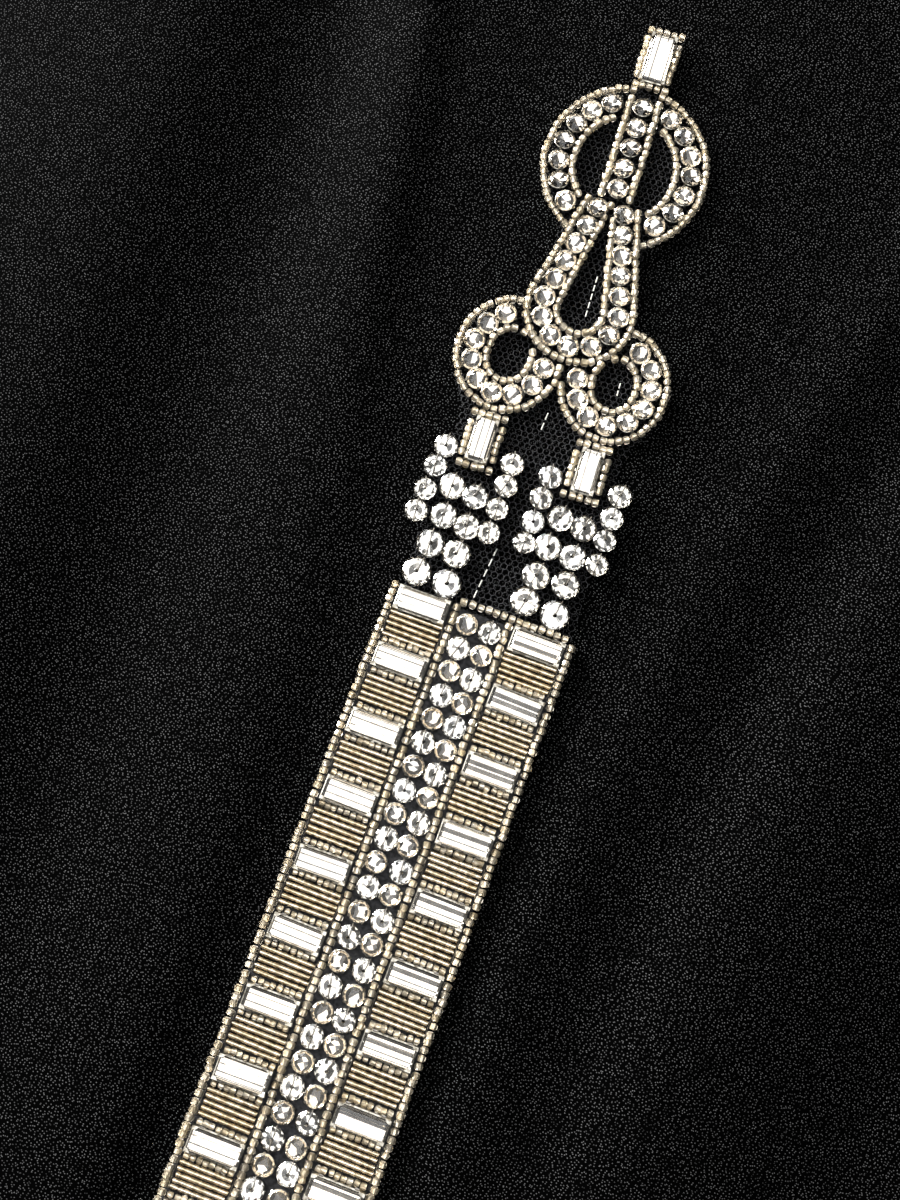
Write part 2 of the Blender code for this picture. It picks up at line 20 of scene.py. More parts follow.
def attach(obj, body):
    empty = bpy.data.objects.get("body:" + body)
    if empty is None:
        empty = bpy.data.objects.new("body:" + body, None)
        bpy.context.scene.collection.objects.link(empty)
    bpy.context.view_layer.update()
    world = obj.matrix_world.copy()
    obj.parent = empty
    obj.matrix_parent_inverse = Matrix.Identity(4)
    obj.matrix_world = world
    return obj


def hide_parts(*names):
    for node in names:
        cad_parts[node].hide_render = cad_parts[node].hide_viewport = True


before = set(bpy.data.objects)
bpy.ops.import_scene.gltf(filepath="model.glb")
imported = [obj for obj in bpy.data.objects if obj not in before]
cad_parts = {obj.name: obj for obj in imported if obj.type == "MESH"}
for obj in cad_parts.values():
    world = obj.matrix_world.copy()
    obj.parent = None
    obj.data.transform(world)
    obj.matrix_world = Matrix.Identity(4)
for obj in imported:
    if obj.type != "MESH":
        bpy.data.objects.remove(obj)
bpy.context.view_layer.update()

LOG = logging.getLogger("column_gown")
Array = np.ndarray
Point = tuple[float, float, float]
MM = 0.001
BODY = "root"
SHARP_ANGLE = math.radians(40)


# ---------------------------------------------------------------- the gown's cut and lie


class Station(NamedTuple):
    """Half the gown's laid width at one height of its outline, in millimetres."""

    name: str
    y: float
    half_width: float


SIDE_OUTLINE = (
    Station("hem", -750, 262),
    Station("calf", -500, 251),
    Station("knee", -250, 244),
    Station("thigh", -20, 247),
    Station("hip", 130, 245),
    Station("high hip", 230, 226),
    Station("waist", 335, 207),
    Station("under bust", 440, 220),
    Station("underarm", 530, 235),
    Station("armhole foot", 552, 207),
    Station("armhole curve", 590, 181),
    Station("across front", 640, 174),
    Station("armhole head", 685, 181),
    Station("shoulder tip", 715, 190),
    Station("neck point", 751, 190),
)


class Fold(NamedTuple):
    """A soft fold of the front cloth, in millimetres. A ridge rises, a trough has a negative rise.

    Its line runs through three plan points, from the hem end to the neck end, and its flanks on the
    gown's left (+X) and right may differ.
    """

    name: str
    rise: float
    left_flank: float
    right_flank: float
    hem_x: float
    hem_y: float
    mid_x: float
    mid_y: float
    neck_x: float
    neck_y: float


FOLDS = (
    Fold("rise beside the tip", 1.7, 20, 17, 96, 190, 49, 365, 34, 470),
    Fold("hollow by the tip", -1.6, 17, 9, 78, 220, 58, 360, 50, 450),
    Fold("ridge beside the crease", 1.9, 11, 5.0, 100, 200, 40.5, 387, 30, 480),
    Fold("ridge left of the band", 1.9, 15, 6.5, 34, 395, 28.0, 500, 31, 720),
    Fold("wide left trough", -2.5, 13, 13, 84, 120, 60, 400, 57, 640),
    Fold("outer left ridge", 1.9, 18, 12, 110, 120, 85, 400, 84, 620),
    Fold("outer left trough", -3.0, 15, 15, 160, 180, 126, 400, 116, 620),
    Fold("rise to the left shoulder", 3.6, 24, 24, 68, 490, 70, 600, 78, 735),
    Fold("ridge right of the band", 1.5, 6, 10, -72, 300, -29.5, 460, -20, 590),
    Fold("right trough", -1.5, 8, 8, -86, 290, -47, 450, -36, 600),
    Fold("right ridge", 2.5, 9, 26, -96, 300, -57, 450, -45, 575),
    Fold("broad right hollow", -5.2, 30, 22, -146, 320, -104, 480, -86, 700),
    Fold("outer right ridge", 2.6, 16, 14, -178, 380, -146, 500, -132, 640),
    Fold("right skirt ridge", 3.4, 20, 20, -160, -560, -128, -60, -96, 300),
    Fold("right skirt trough", -3.6, 17, 17, -118, -740, -88, -330, -70, 90),
    Fold("centre skirt ridge", 3.8, 22, 22, -38, -760, -26, -350, -30, 130),
    Fold("centre skirt trough", -3.4, 16, 16, 12, -760, 14, -420, 6, 20),
    Fold("left skirt ridge", 4.2, 20, 20, 74, -760, 62, -380, 56, 110),
    Fold("left skirt trough", -3.8, 18, 18, 142, -760, 120, -330, 112, 40),
    Fold("left hem ridge", 3.2, 17, 17, 196, -760, 180, -470, 168, -160),
    Fold("right hem ridge", 3.0, 16, 16, -204, -760, -186, -520, -178, -260),
)

# Creases too fine for the solid
FINE_CREASES = (
    Fold("line beside the tip", -1.1, 1.8, 2.6, 80, 225, 37, 380, 29, 440),
    Fold("right line", -0.3, 2.4, 3.0, -62, 350, -37, 440, -31, 540),
    Fold("hollow line", -0.4, 3.0, 4.0, -96, 430, -84, 520, -90, 620),
    Fold("waist line left", -0.9, 3.5, 3.5, 190, 300, 150, 335, 112, 352),
    Fold("waist line right", -1.0, 3.5, 3.5, -112, 340, -150, 330, -192, 306),
    Fold("hip line", -0.8, 4.0, 4.0, -40, 210, -110, 190, -180, 150),
)


def smoothstep(value: Array | float, low: float, high: float) -> Array:
    """Ramp from 0 at low to 1 at high, level at both ends."""
    t = np.clip((value - low) / (high - low), 0.0, 1.0)
    return t * t * (3 - 2 * t)


@dataclass(frozen=True)
class GownCut:
    """The gown's outline as it lies flat, and how its panels' points are found."""

    hem_y: float = -750 * MM
    neck_point_y: float = 750 * MM
    neck_half_width: float = 125 * MM
    front_neck_drop: float = 45 * MM
    back_neck_drop: float = 20 * MM
    shoulder_tip_x: float = 190 * MM
    shoulder_drop: float = 35 * MM
    hem_lift_at_sides: float = 8 * MM
    wall: float = 1.2 * MM
    gap: float = 0.3 * MM

    @property
    def front_neck_y(self) -> float:
        """Height of the front neckline's lowest point."""
        return self.neck_point_y - self.front_neck_drop

    def half_width(self, y: Array) -> Array:
        """Find half the gown's width, smooth through the outline's stations.

        Args:
            y: Heights on the gown, from the hem up.

        Returns:
            The half widths there.
        """
        heights = np.array([row.y for row in SIDE_OUTLINE]) * MM
        widths = np.array([row.half_width for row in SIDE_OUTLINE]) * MM
        y = np.clip(y, heights[0], heights[-1])
        i = np.clip(np.searchsorted(heights, y, side="right") - 1, 0, len(heights) - 2)
        before, after = np.maximum(i - 1, 0), np.minimum(i + 2, len(heights) - 1)
        span = heights[i + 1] - heights[i]
        slope_low = (widths[i + 1] - widths[before]) / (heights[i + 1] - heights[before])
        slope_high = (widths[after] - widths[i]) / (heights[after] - heights[i])
        t = (y - heights[i]) / span
        return ((2 * t**3 - 3 * t**2 + 1) * widths[i] + (t**3 - 2 * t**2 + t) * span * slope_low
                + (3 * t**2 - 2 * t**3) * widths[i + 1] + (t**3 - t**2) * span * slope_high)

    def top_edge(self, fraction: Array, neck_drop: float) -> Array:
        """Find a panel's top edge: the neckline's ellipse, then the shoulder's slope.

        Args:
            fraction: Places across the panel, from -1 to 1.
            neck_drop: Depth of the panel's neckline.

        Returns:
            The edge's heights there.
        """
        x = np.abs(fraction) * self.shoulder_tip_x
        curve = np.sqrt(np.clip(1 - (x / self.neck_half_width) ** 2, 0, 1))
        slope = (x - self.neck_half_width) / (self.shoulder_tip_x - self.neck_half_width)
        drop = np.where(x < self.neck_half_width, neck_drop * curve, self.shoulder_drop * slope)
        return self.neck_point_y - drop

    def panel_point(self, fraction: Array, rise: Array, neck_drop: float) -> tuple[Array, Array]:
        """Plan point of a panel.

        Args:
            fraction: Across the panel, from -1 to 1.
            rise: From 0 at the hem to 1 at the top edge.
            neck_drop: Depth of the panel's neckline.

        Returns:
            The points' x and y.
        """
        hem = self.hem_y + self.hem_lift_at_sides * fraction**2
        y = hem + rise * (self.top_edge(fraction, neck_drop) - hem)
        return fraction * self.half_width(y), y


CUT = GownCut()
BAY_PITCH = 11.5 * MM
BAY_COUNT = 22
FIRST_BAGUETTE = 2.4 * MM
SECOND_BAGUETTE = 12.4 * MM
BAND_LENGTH = SECOND_BAGUETTE + (BAY_COUNT - 2) * BAY_PITCH + 4 * MM
BAND_END_Y = CUT.front_neck_y - 4 * MM - BAND_LENGTH


@dataclass(frozen=True)
class FrontLie:
    """How the front cloth lies over the back one, with its folds and the crown under the applique."""

    loft: float = 4.5 * MM
    crown_swell: float = 0.6 * MM
    crown_swell_length: float = 330 * MM
    crown_half_width: float = 18 * MM
    crown_shoulder: float = 6 * MM
    crown_shift: float = 2.5 * MM
    shift_along: tuple[float, float] = (-20 * MM, 40 * MM)
    fade_along: tuple[float, float] = (125 * MM, 210 * MM)
    seam_fade: float = 70 * MM
    neck_fade: tuple[float, float] = (-10 * MM, 150 * MM)
    fold_end_fade_mm: float = 90
    flattest_trough: float = 1 * MM

    def fold_rise(self, fold: Fold, x: Array, y: Array, end_fade: float) -> Array:
        """Find what one fold adds to the cloth's height, all in millimetres.

        Args:
            fold: The fold.
            x: The plan points' x.
            y: The plan points' y.
            end_fade: How far the fold fades out at each end.

        Returns:
            The added heights.
        """
        x0, x1, x2 = fold.hem_x, fold.mid_x, fold.neck_x
        y0, y1, y2 = fold.hem_y, fold.mid_y, fold.neck_y
        line = (x0 * (y - y1) * (y - y2) / ((y0 - y1) * (y0 - y2))
                + x1 * (y - y0) * (y - y2) / ((y1 - y0) * (y1 - y2))
                + x2 * (y - y0) * (y - y1) / ((y2 - y0) * (y2 - y1)))
        at_hem = 1.0 if fold.hem_y < CUT.hem_y / MM else smoothstep(y, fold.hem_y, fold.hem_y + end_fade)
        fade = at_hem * smoothstep(fold.neck_y - y, 0, end_fade)
        flank = np.where(x > line, fold.left_flank, fold.right_flank)
        return fold.rise * fade * np.exp(-((x - line) / flank) ** 2)

    def lift(self, x: Array, y: Array) -> Array:
        """Find how far the front cloth is lifted off the back one.

        Args:
            x: The plan points' x.
            y: The plan points' y.

        Returns:
            The lifts there.
        """
        crown = self.loft + self.crown_swell * np.sin(2 * math.pi * y / self.crown_swell_length)
        rises = sum(self.fold_rise(fold, x / MM, y / MM, self.fold_end_fade_mm) for fold in FOLDS)
        free = self.loft + MM * rises
        free = 0.5 * (free + np.hypot(free, self.flattest_trough))
        middle = self.crown_shift * smoothstep(BAND_END_Y - y, *self.shift_along)
        edge = self.crown_half_width + self.crown_shoulder - np.abs(x - middle)
        in_crown = smoothstep(edge, 0, self.crown_shoulder)
        in_crown = in_crown * (1 - smoothstep(BAND_END_Y - y, *self.fade_along))
        lift = crown * in_crown + free * (1 - in_crown)
        seam = smoothstep(CUT.half_width(y) - np.abs(x), 0, self.seam_fade)
        neck = smoothstep(CUT.front_neck_y - y, *self.neck_fade)
        return lift * seam * neck

    def inside(self, x: Array, y: Array) -> Array:
        """Height of the front cloth's inner face."""
        return CUT.wall + CUT.gap + self.lift(x, y)

    def outside(self, x: Array, y: Array) -> Array:
        """Height of the front cloth's outer face."""
        return self.inside(x, y) + CUT.wall


LIE = FrontLie()


# ---------------------------------------------------------------- finishes


def linear(colour: str) -> tuple[float, float, float, float]:
    """Turn an sRGB hex colour into linear values.

    Args:
        colour: The colour, such as "#0f0f10".

    Returns:
        Its red, green, blue and alpha.
    """
    parts = [int(colour[i:i + 2], 16) / 255 for i in (1, 3, 5)]
    red, green, blue = (c / 12.92 if c <= 0.04045 else ((c + 0.055) / 1.055) ** 2.4 for c in parts)
    return red, green, blue, 1.0


def add_node(tree: bpy.types.NodeTree, kind: str, inputs: dict[str | int, object] | None = None,
             **settings: object) -> bpy.types.Node:
    """Add a node with its settings and links.

    Args:
        tree: The material's or world's node tree.
        kind: Blender's name of the node type.
        inputs: Input names or numbers, each with a value or the output that feeds it.
        settings: The node's own properties.

    Returns:
        The new node.
    """
    node = tree.nodes.new(kind)
    for name, value in settings.items():
        setattr(node, name, value)
    for name, value in (inputs or {}).items():
        if isinstance(value, bpy.types.NodeSocket):
            tree.links.new(value, node.inputs[name])
        else:
            node.inputs[name].default_value = value
    return node


@dataclass(frozen=True)
class Finish:
    """A finish: one material, made from nodes once and shared by every piece that wears it."""

    name: str

    def material(self) -> bpy.types.Material:
        """Find the finish's material, or make it the first time that it is asked for.

        Returns:
            The material.
        """
        found = bpy.data.materials.get(self.name)
        if found is None:
            found = bpy.data.materials.new(self.name)
            found.use_nodes = True
            found.node_tree.nodes.clear()
            shader = self.dress(found.node_tree)
            add_node(found.node_tree, "ShaderNodeOutputMaterial", {"Surface": shader.outputs[0]})
        return found

    def dress(self, tree: bpy.types.NodeTree) -> bpy.types.Node:
        """Add the finish's nodes.

        Args:
            tree: The material's node tree.

        Returns:
            The shader.
        """
        raise NotImplementedError

    def millimetres(self, tree: bpy.types.NodeTree, sizes: Sequence[float],
                    turn: float = 0.0) -> bpy.types.NodeSocket:
        """Measure the piece's own coordinates in real sizes.

        Args:
            tree: The material's node tree.
            sizes: The millimetres that one unit stands for on each axis.
            turn: How far the pattern is turned about Z, in radians.

        Returns:
            The coordinates.
        """
        place = add_node(tree, "ShaderNodeTexCoord").outputs["Object"]
        turned = add_node(tree, "ShaderNodeMapping", {"Vector": place, "Rotation": (0, 0, turn)})
        inputs = {0: turned.outputs[0], 1: tuple(1 / (MM * size) for size in sizes)}
        return add_node(tree, "ShaderNodeVectorMath", inputs, operation="MULTIPLY").outputs[0]

    def clouded(self, tree: bpy.types.NodeTree, thin: str, thick: str, size_mm: float, detail: float,
                levels: tuple[float, float] = (0.0, 1.0)) -> bpy.types.NodeSocket:
        """Make a colour that drifts softly between two.

        Args:
            tree: The material's node tree.
            thin: The colour where the cloud is thin.
            thick: The colour where it is thick.
            size_mm: The clouds' size.
            detail: How much finer drift they have.
            levels: Where the cloud starts and where it is full.

        Returns:
            The colour.
        """
        place = self.millimetres(tree, (size_mm, size_mm, size_mm))
        cloud = add_node(tree, "ShaderNodeTexNoise", {"Vector": place, "Scale": 1.0, "Detail": detail})
        amount = add_node(tree, "ShaderNodeMapRange", {0: cloud.outputs["Fac"], 1: levels[0], 2: levels[1]})
        ends = {0: amount.outputs[0], 6: linear(thin), 7: linear(thick)}
        return add_node(tree, "ShaderNodeMix", ends, data_type="RGBA").outputs[2]


@dataclass(frozen=True)
class Crepe(Finish):
    """Black crepe, woven from hard-twisted yarn: the twist draws it into pebbles that lie in slanted rows.

    The eye gets a matt near-black ground. Fine grey glints are painted where the pebbles' tops catch the
    light: painted highlights, stronger and fainter in drifts.
    """

    ground: str = "#010101"
    # Painted highlight: the grey of the glints painted on the pebbles' tops
    painted_glint: str = "#575757"
    fuzz: str = "#b9b7b4"
    pebble_mm: Point = (0.60, 0.47, 1)
    row_slant: float = math.radians(21)
    unevenness: float = 0.80
    pebble_rim: float = 0.24
    pebble_top: float = 0.06
    glint_drift_mm: Point = (2.3, 1.7, 1)
    glint_drift_levels: tuple[float, float] = (0.32, 0.68)
    faintest_glint: float = 0.20
    pebble_height: float = 0.05 * MM
    relief_strength: float = 0.8
    roughness: float = 0.72

    def dress(self, tree: bpy.types.NodeTree) -> bpy.types.Node:
        """Add the crepe's nodes.

        Args:
            tree: The material's node tree.

        Returns:
            The shader.
        """
        rows = {"Vector": self.millimetres(tree, self.pebble_mm, self.row_slant), "Scale": 1.0,
                "Randomness": self.unevenness}
        pebbles = add_node(tree, "ShaderNodeTexVoronoi", rows, voronoi_dimensions="2D")
        reach = {0: pebbles.outputs["Distance"], 1: self.pebble_rim, 2: self.pebble_top}
        pebble_and_glint = add_node(tree, "ShaderNodeMapRange", reach, interpolation_type="SMOOTHSTEP").outputs[0]
        glint_drift = add_node(tree, "ShaderNodeTexNoise", {
            "Vector": self.millimetres(tree, self.glint_drift_mm), "Scale": 1.0, "Detail": 2.0, "Roughness": 0.6})
        low, high = self.glint_drift_levels
        glint_strength = add_node(tree, "ShaderNodeMapRange", {
            0: glint_drift.outputs["Fac"], 1: low, 2: high, 3: self.faintest_glint})
        # Painted highlight: grey glints mixed into the base colour on the pebbles' tops, which the bump also
        # raises
        amount = add_node(tree, "ShaderNodeMath", {0: pebble_and_glint, 1: glint_strength.outputs[0]}, operation="MULTIPLY")
        ends = {0: amount.outputs[0], 6: linear(self.ground), 7: linear(self.painted_glint)}
        colour = add_node(tree, "ShaderNodeMix", ends, data_type="RGBA")
        relief = add_node(tree, "ShaderNodeBump", {
            "Height": pebble_and_glint, "Distance": self.pebble_height, "Strength": self.relief_strength})
        return add_node(tree, "ShaderNodeBsdfPrincipled", {
            "Base Color": colour.outputs[2], "Roughness": self.roughness, "Specular IOR Level": 0.005,
            "Sheen Weight": 0.002, "Sheen Roughness": 0.35, "Sheen Tint": linear(self.fuzz),
            "Normal": relief.outputs[0]})


@dataclass(frozen=True)
class Tulle(Finish):
    """Black nylon tulle, warp-knitted and stiffened: fine smooth yarn, a little paler than the crepe."""

    shade: str = "#1c1c1d"
    yarn: str = "#3f3f41"
    twist_mm: float = 0.6

    def dress(self, tree: bpy.types.NodeTree) -> bpy.types.Node:
        """Add the tulle's nodes.

        Args:
            tree: The material's node tree.

        Returns:
            The shader.
        """
        colour = self.clouded(tree, self.shade, self.yarn, self.twist_mm, 1.0, (0.3, 0.7))
        return add_node(tree, "ShaderNodeBsdfPrincipled", {
            "Base Color": colour, "Roughness": 0.55, "Specular IOR Level": 0.08})


@dataclass(frozen=True)
class BeadGlass(Finish):
    """Champagne bead glass, drawn as cane, cut and fire-polished: clear and warm, deeper in some beads."""

    pale: str = "#fff8ec"
    deep: str = "#eee0c5"
    roughness: float = 0.06
    ior: float = 1.5

    def dress(self, tree: bpy.types.NodeTree) -> bpy.types.Node:
        """Add the glass's nodes.

        Args:
            tree: The material's node tree.

        Returns:
            The shader.
        """
        tone = add_node(tree, "ShaderNodeAttribute", attribute_name="tone")
        ends = {0: tone.outputs["Fac"], 6: linear(self.pale), 7: linear(self.deep)}
        colour = add_node(tree, "ShaderNodeMix", ends, data_type="RGBA")
        return add_node(tree, "ShaderNodeBsdfPrincipled", {
            "Base Color": colour.outputs[2], "Roughness": self.roughness, "IOR": self.ior,
            "Transmission Weight": 1.0})


@dataclass(frozen=True)
class CutCrystal(BeadGlass):
    """Full-lead crystal, moulded and machine-cut: water-clear, with facets that flash white or grey."""

    pale: str = "#ffffff"
    deep: str = "#e9ecf2"
    roughness: float = 0.0
    ior: float = 1.56


@dataclass(frozen=True)
class MirrorFoil(Finish):
    """The silver foil on the back of a cut stone, plated and lacquered: it throws the light back up."""

    bright: str = "#fcf4e6"
    dull: str = "#d4cabb"
    roughness: float = 0.05
    metallic: float = 1.0
    cloud_mm: float = 1.6
    cloud_levels: tuple[float, float] = (0.35, 0.7)

    def dress(self, tree: bpy.types.NodeTree) -> bpy.types.Node:
        """Add the foil's nodes.

        Args:
            tree: The material's node tree.

        Returns:
            The shader.
        """
        colour = self.clouded(tree, self.bright, self.dull, self.cloud_mm, 2.0, self.cloud_levels)
        return add_node(tree, "ShaderNodeBsdfPrincipled", {
            "Base Color": colour, "Metallic": self.metallic, "Roughness": self.roughness})


@dataclass(frozen=True)
class BeadLining(MirrorFoil):
    """The silvering in a bead's hole, laid on wet and browned with age: warm metal, a little uneven."""

    bright: str = "#fffaf1"
    dull: str = "#efe5d2"
    roughness: float = 0.28
    metallic: float = 0.75
    cloud_mm: float = 0.8
    cloud_levels: tuple[float, float] = (0.35, 0.65)


@dataclass(frozen=True)
class ClawMetal(Finish):
    """Stamped brass claw settings, nickel-plated: grey-white metal, rubbed bright on the claws' backs."""

    plate: str = "#c9c4b8"
    tarnish: str = "#6f685a"
    mark_mm: float = 0.7
    smoothest: float = 0.18
    roughest: float = 0.42

    def dress(self, tree: bpy.types.NodeTree) -> bpy.types.Node:
        """Add the metal's nodes.

        Args:
            tree: The material's node tree.

        Returns:
            The shader.
        """
        colour = self.clouded(tree, self.plate, self.tarnish, self.mark_mm, 3.0, (0.42, 0.66))
        place = self.millimetres(tree, (self.mark_mm, self.mark_mm, self.mark_mm))
        marks = add_node(tree, "ShaderNodeTexNoise", {"Vector": place, "Scale": 1.0, "Detail": 3.0})
        rough = add_node(tree, "ShaderNodeMapRange", {
            0: marks.outputs["Fac"], 3: self.smoothest, 4: self.roughest})
        return add_node(tree, "ShaderNodeBsdfPrincipled", {
            "Base Color": colour, "Metallic": 1.0, "Roughness": rough.outputs[0]})


@dataclass(frozen=True)
class Thread(Finish):
    """Sewing thread: two twisted plies, dyed or natural, with the soft shine of a mercerised yarn and
    painted shade in the grooves between the plies.
    """

    colour: str
    shade: str
    roughness: float = 0.5
    ply_mm: Point = (0.5, 0.5, 0.5)
    ply_turn: float = 0.6

    def dress(self, tree: bpy.types.NodeTree) -> bpy.types.Node:
        """Add the thread's nodes.

        Args:
            tree: The material's node tree.

        Returns:
            The shader.
        """
        place = self.millimetres(tree, self.ply_mm, self.ply_turn)
        plies = add_node(tree, "ShaderNodeTexWave", {"Vector": place, "Scale": 0.8, "Distortion": 0.6})
        # Painted shade: the darker stripes stand for the grooves between the plies
        ends = {0: plies.outputs["Fac"], 6: linear(self.shade), 7: linear(self.colour)}
        colour = add_node(tree, "ShaderNodeMix", ends, data_type="RGBA")
        return add_node(tree, "ShaderNodeBsdfPrincipled", {
            "Base Color": colour.outputs[2], "Roughness": self.roughness, "Sheen Weight": 0.3})


@dataclass(frozen=True)
class StudioPaper(Finish):
    """Pale background paper, calendered: an even grey-white with a faint cloud in it."""

    low: str = "#8b8a88"
    high: str = "#939290"
    cloud_mm: float = 90

    def dress(self, tree: bpy.types.NodeTree) -> bpy.types.Node:
        """Add the paper's nodes and return its shader."""
        colour = self.clouded(tree, self.low, self.high, self.cloud_mm, 3.0)
        return add_node(tree, "ShaderNodeBsdfPrincipled", {"Base Color": colour, "Roughness": 0.85})


CREPE = Crepe("crepe_black")
TULLE = Tulle("tulle_black")
BEAD_GLASS = BeadGlass("bead_glass_champagne")
BEAD_LINING = BeadLining("bead_lining_silver")
BUGLE_LINING = BeadLining("bugle_lining_silver", dull="#bdb29d", roughness=0.11, metallic=1.0)
CRYSTAL = CutCrystal("crystal_clear")
FOIL = MirrorFoil("foil_silver")
SATIN_FOIL = MirrorFoil("foil_satin", "#f3eee4", "#cfc9bd", 0.09)
CLAW_METAL = ClawMetal("claw_metal_nickel")
BLACK_THREAD = Thread("thread_black", "#1b1b1d", "#080808")
TACKING_THREAD = Thread("thread_tacking_white", "#e8e6e0", "#a8a59c")
BEADING_THREAD = Thread("thread_beading_grey", "#6f675a", "#2f2a22", 0.35)
PAPER = StudioPaper("paper_pale")


# ---------------------------------------------------------------- forms and piles


@dataclass
class Form:
    """A small form, made once about its own origin and set down many times.

    Attributes:
        points: Corner points, in metres.
        faces: Each face's corner numbers, anticlockwise from outside.
        slots: Each face's material slot.
        smooth: Whether each face is shaded smooth.
    """

    points: list[Point] = field(default_factory=list)
    faces: list[tuple[int, ...]] = field(default_factory=list)
    slots: list[int] = field(default_factory=list)
    smooth: list[bool] = field(default_factory=list)

    def ring(self, points: Sequence[Point]) -> list[int]:
        """Add a ring of points.

        Args:
            points: The points, in order.

        Returns:
            Their numbers in the form.
        """
        start = len(self.points)
        self.points.extend(points)
        return list(range(start, len(self.points)))

    def face(self, corners: Sequence[int], slot: int, smooth: bool = False) -> None:
        """Add one face.

        Args:
            corners: Its points' numbers, anticlockwise from outside.
            slot: Its material slot.
            smooth: Whether it is shaded smooth.
        """
        self.faces.append(tuple(corners))
        self.slots.append(slot)
        self.smooth.append(smooth)

    def bridge(self, low: Sequence[int], high: Sequence[int], slot: int, smooth: bool = False) -> None:
        """Join two rings, both anticlockwise from above.

        Args:
            low: The ring that lies outside or below.
            high: The other ring.
            slot: The faces' material slot.
            smooth: Whether they are shaded smooth.
        """
        count = len(low)
        for k in range(count):
            after = (k + 1) % count
            self.face((low[k], low[after], high[after], high[k]), slot, smooth)

    def lean(self, angle: float) -> None:
        """Turn the form about its own X, in radians."""
        cos, sin = math.cos(angle), math.sin(angle)
        self.points = [(x, y * cos - z * sin, y * sin + z * cos) for x, y, z in self.points]

    def box(self, low: Sequence[float], high: Sequence[float], slot: int) -> None:
        """Add a closed box.

        Args:
            low: Its lowest corner.
            high: Its highest corner.
            slot: Its material slot.
        """
        (x0, y0, z0), (x1, y1, z1) = low, high
        under = self.ring([(x0, y0, z0), (x1, y0, z0), (x1, y1, z0), (x0, y1, z0)])
        over = self.ring([(x0, y0, z1), (x1, y0, z1), (x1, y1, z1), (x0, y1, z1)])
        self.bridge(under, over, slot)
        self.face(over, slot)
        self.face(under[::-1], slot)


class Pile:
    """Many forms joined into one mesh, with a tone for each."""

    def __init__(self, name: str) -> None:
        """Start an empty pile.

        Args:
            name: The name of the piece that it becomes.
        """
        self.name = name
        self.random = np.random.default_rng(sum(ord(letter) * (i + 1) for i, letter in enumerate(name)))
        self.points: list[Array] = []
        self.faces: list[tuple[int, ...]] = []
        self.slots: list[int] = []
        self.smooth: list[bool] = []
        self.tones: list[Array] = []
        self.count = 0

    def set_down(self, form: Form, at: Sequence[float], heading: float = 0.0, tilt: float = 0.0,
                 scale: float | Sequence[float] = 1.0) -> None:
        """Add a copy of a form, with a random tone.

        Args:
            form: What to add.
            at: Where its origin goes.
            heading: Turn about the vertical, in radians.
            tilt: Largest random tilt about each level axis, in radians.
            scale: One factor, or one for each of the form's own axes.
        """
        lean_x, lean_y, any_tone = self.random.uniform(-1, 1, 3)
        turn = Matrix.Rotation(heading, 3, "Z")
        turn = turn @ Matrix.Rotation(tilt * lean_x, 3, "X") @ Matrix.Rotation(tilt * lean_y, 3, "Y")
        points = (np.array(form.points) * scale) @ np.array(turn).T + np.array(at)
        self.faces.extend(tuple(corner + self.count for corner in face) for face in form.faces)
        self.slots.extend(form.slots)
        self.smooth.extend(form.smooth)
        self.points.append(points)
        self.tones.append(np.full(len(points), (any_tone + 1) / 2))
        self.count += len(points)

    def tube(self, path: Array, radius: float, slot: int, sides: int = 6) -> None:
        """Add a closed tube along a path.

        Args:
            path: Its points, one a row.
            radius: The tube's radius.
            slot: Its material slot.
            sides: How many sides it has.
        """
        steps = np.gradient(path, axis=0)
        steps /= np.linalg.norm(steps, axis=1, keepdims=True)
        sideways = np.cross(steps, (0, 0, 1))
        sideways /= np.maximum(np.linalg.norm(sideways, axis=1, keepdims=True), 1e-9)
        upward = np.cross(sideways, steps)
        form = Form()
        angles = [2 * math.pi * k / sides for k in range(sides)]
        rings = [form.ring([tuple(point + radius * (math.cos(a) * side + math.sin(a) * up))
                            for a in angles]) for point, side, up in zip(path, sideways, upward)]
        for here, there in zip(rings, rings[1:]):
            form.bridge(there, here, slot, True)
        form.face(rings[0], slot)
        form.face(rings[-1][::-1], slot)
        self.set_down(form, (0, 0, 0))

    def piece(self, finishes: Sequence[Finish], record_slot: str, *nodes: str) -> bpy.types.Object:
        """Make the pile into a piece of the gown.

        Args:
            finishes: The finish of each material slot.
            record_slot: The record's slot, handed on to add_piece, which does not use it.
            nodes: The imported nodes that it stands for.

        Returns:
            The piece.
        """
        mesh = bpy.data.meshes.new(self.name)
        mesh.from_pydata(np.vstack(self.points), [], self.faces)
        mesh.polygons.foreach_set("material_index", self.slots)
        mesh.polygons.foreach_set("use_smooth", self.smooth)
        tone = mesh.attributes.new("tone", "FLOAT", "POINT")
        tone.data.foreach_set("value", np.concatenate(self.tones).astype(np.float32))
        return add_piece(self.name, mesh, finishes, record_slot, *nodes)


def add_piece(name: str, mesh: bpy.types.Mesh, finishes: Sequence[Finish], record_slot: str,
              *nodes: str) -> bpy.types.Object:
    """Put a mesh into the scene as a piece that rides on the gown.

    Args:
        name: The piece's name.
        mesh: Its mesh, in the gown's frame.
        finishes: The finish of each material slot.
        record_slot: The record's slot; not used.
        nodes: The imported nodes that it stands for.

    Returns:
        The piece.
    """
    for finish in finishes:
        mesh.materials.append(finish.material())
    mesh.validate()
    mesh.update()
    smooth = [face.use_smooth for face in mesh.polygons]
    mesh.set_sharp_from_angle(angle=SHARP_ANGLE)
    mesh.polygons.foreach_set("use_smooth", smooth)
    thing = bpy.data.objects.new(name, mesh)
    bpy.context.scene.collection.objects.link(thing)
    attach(thing, BODY)
    if nodes:
        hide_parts(*nodes)
    LOG.info("%s: %d faces", name, len(mesh.polygons))
    return thing


# ---------------------------------------------------------------- cloth


class Panel(Enum):
    """The gown's two panels."""

    FRONT = "front"
    BACK = "back"


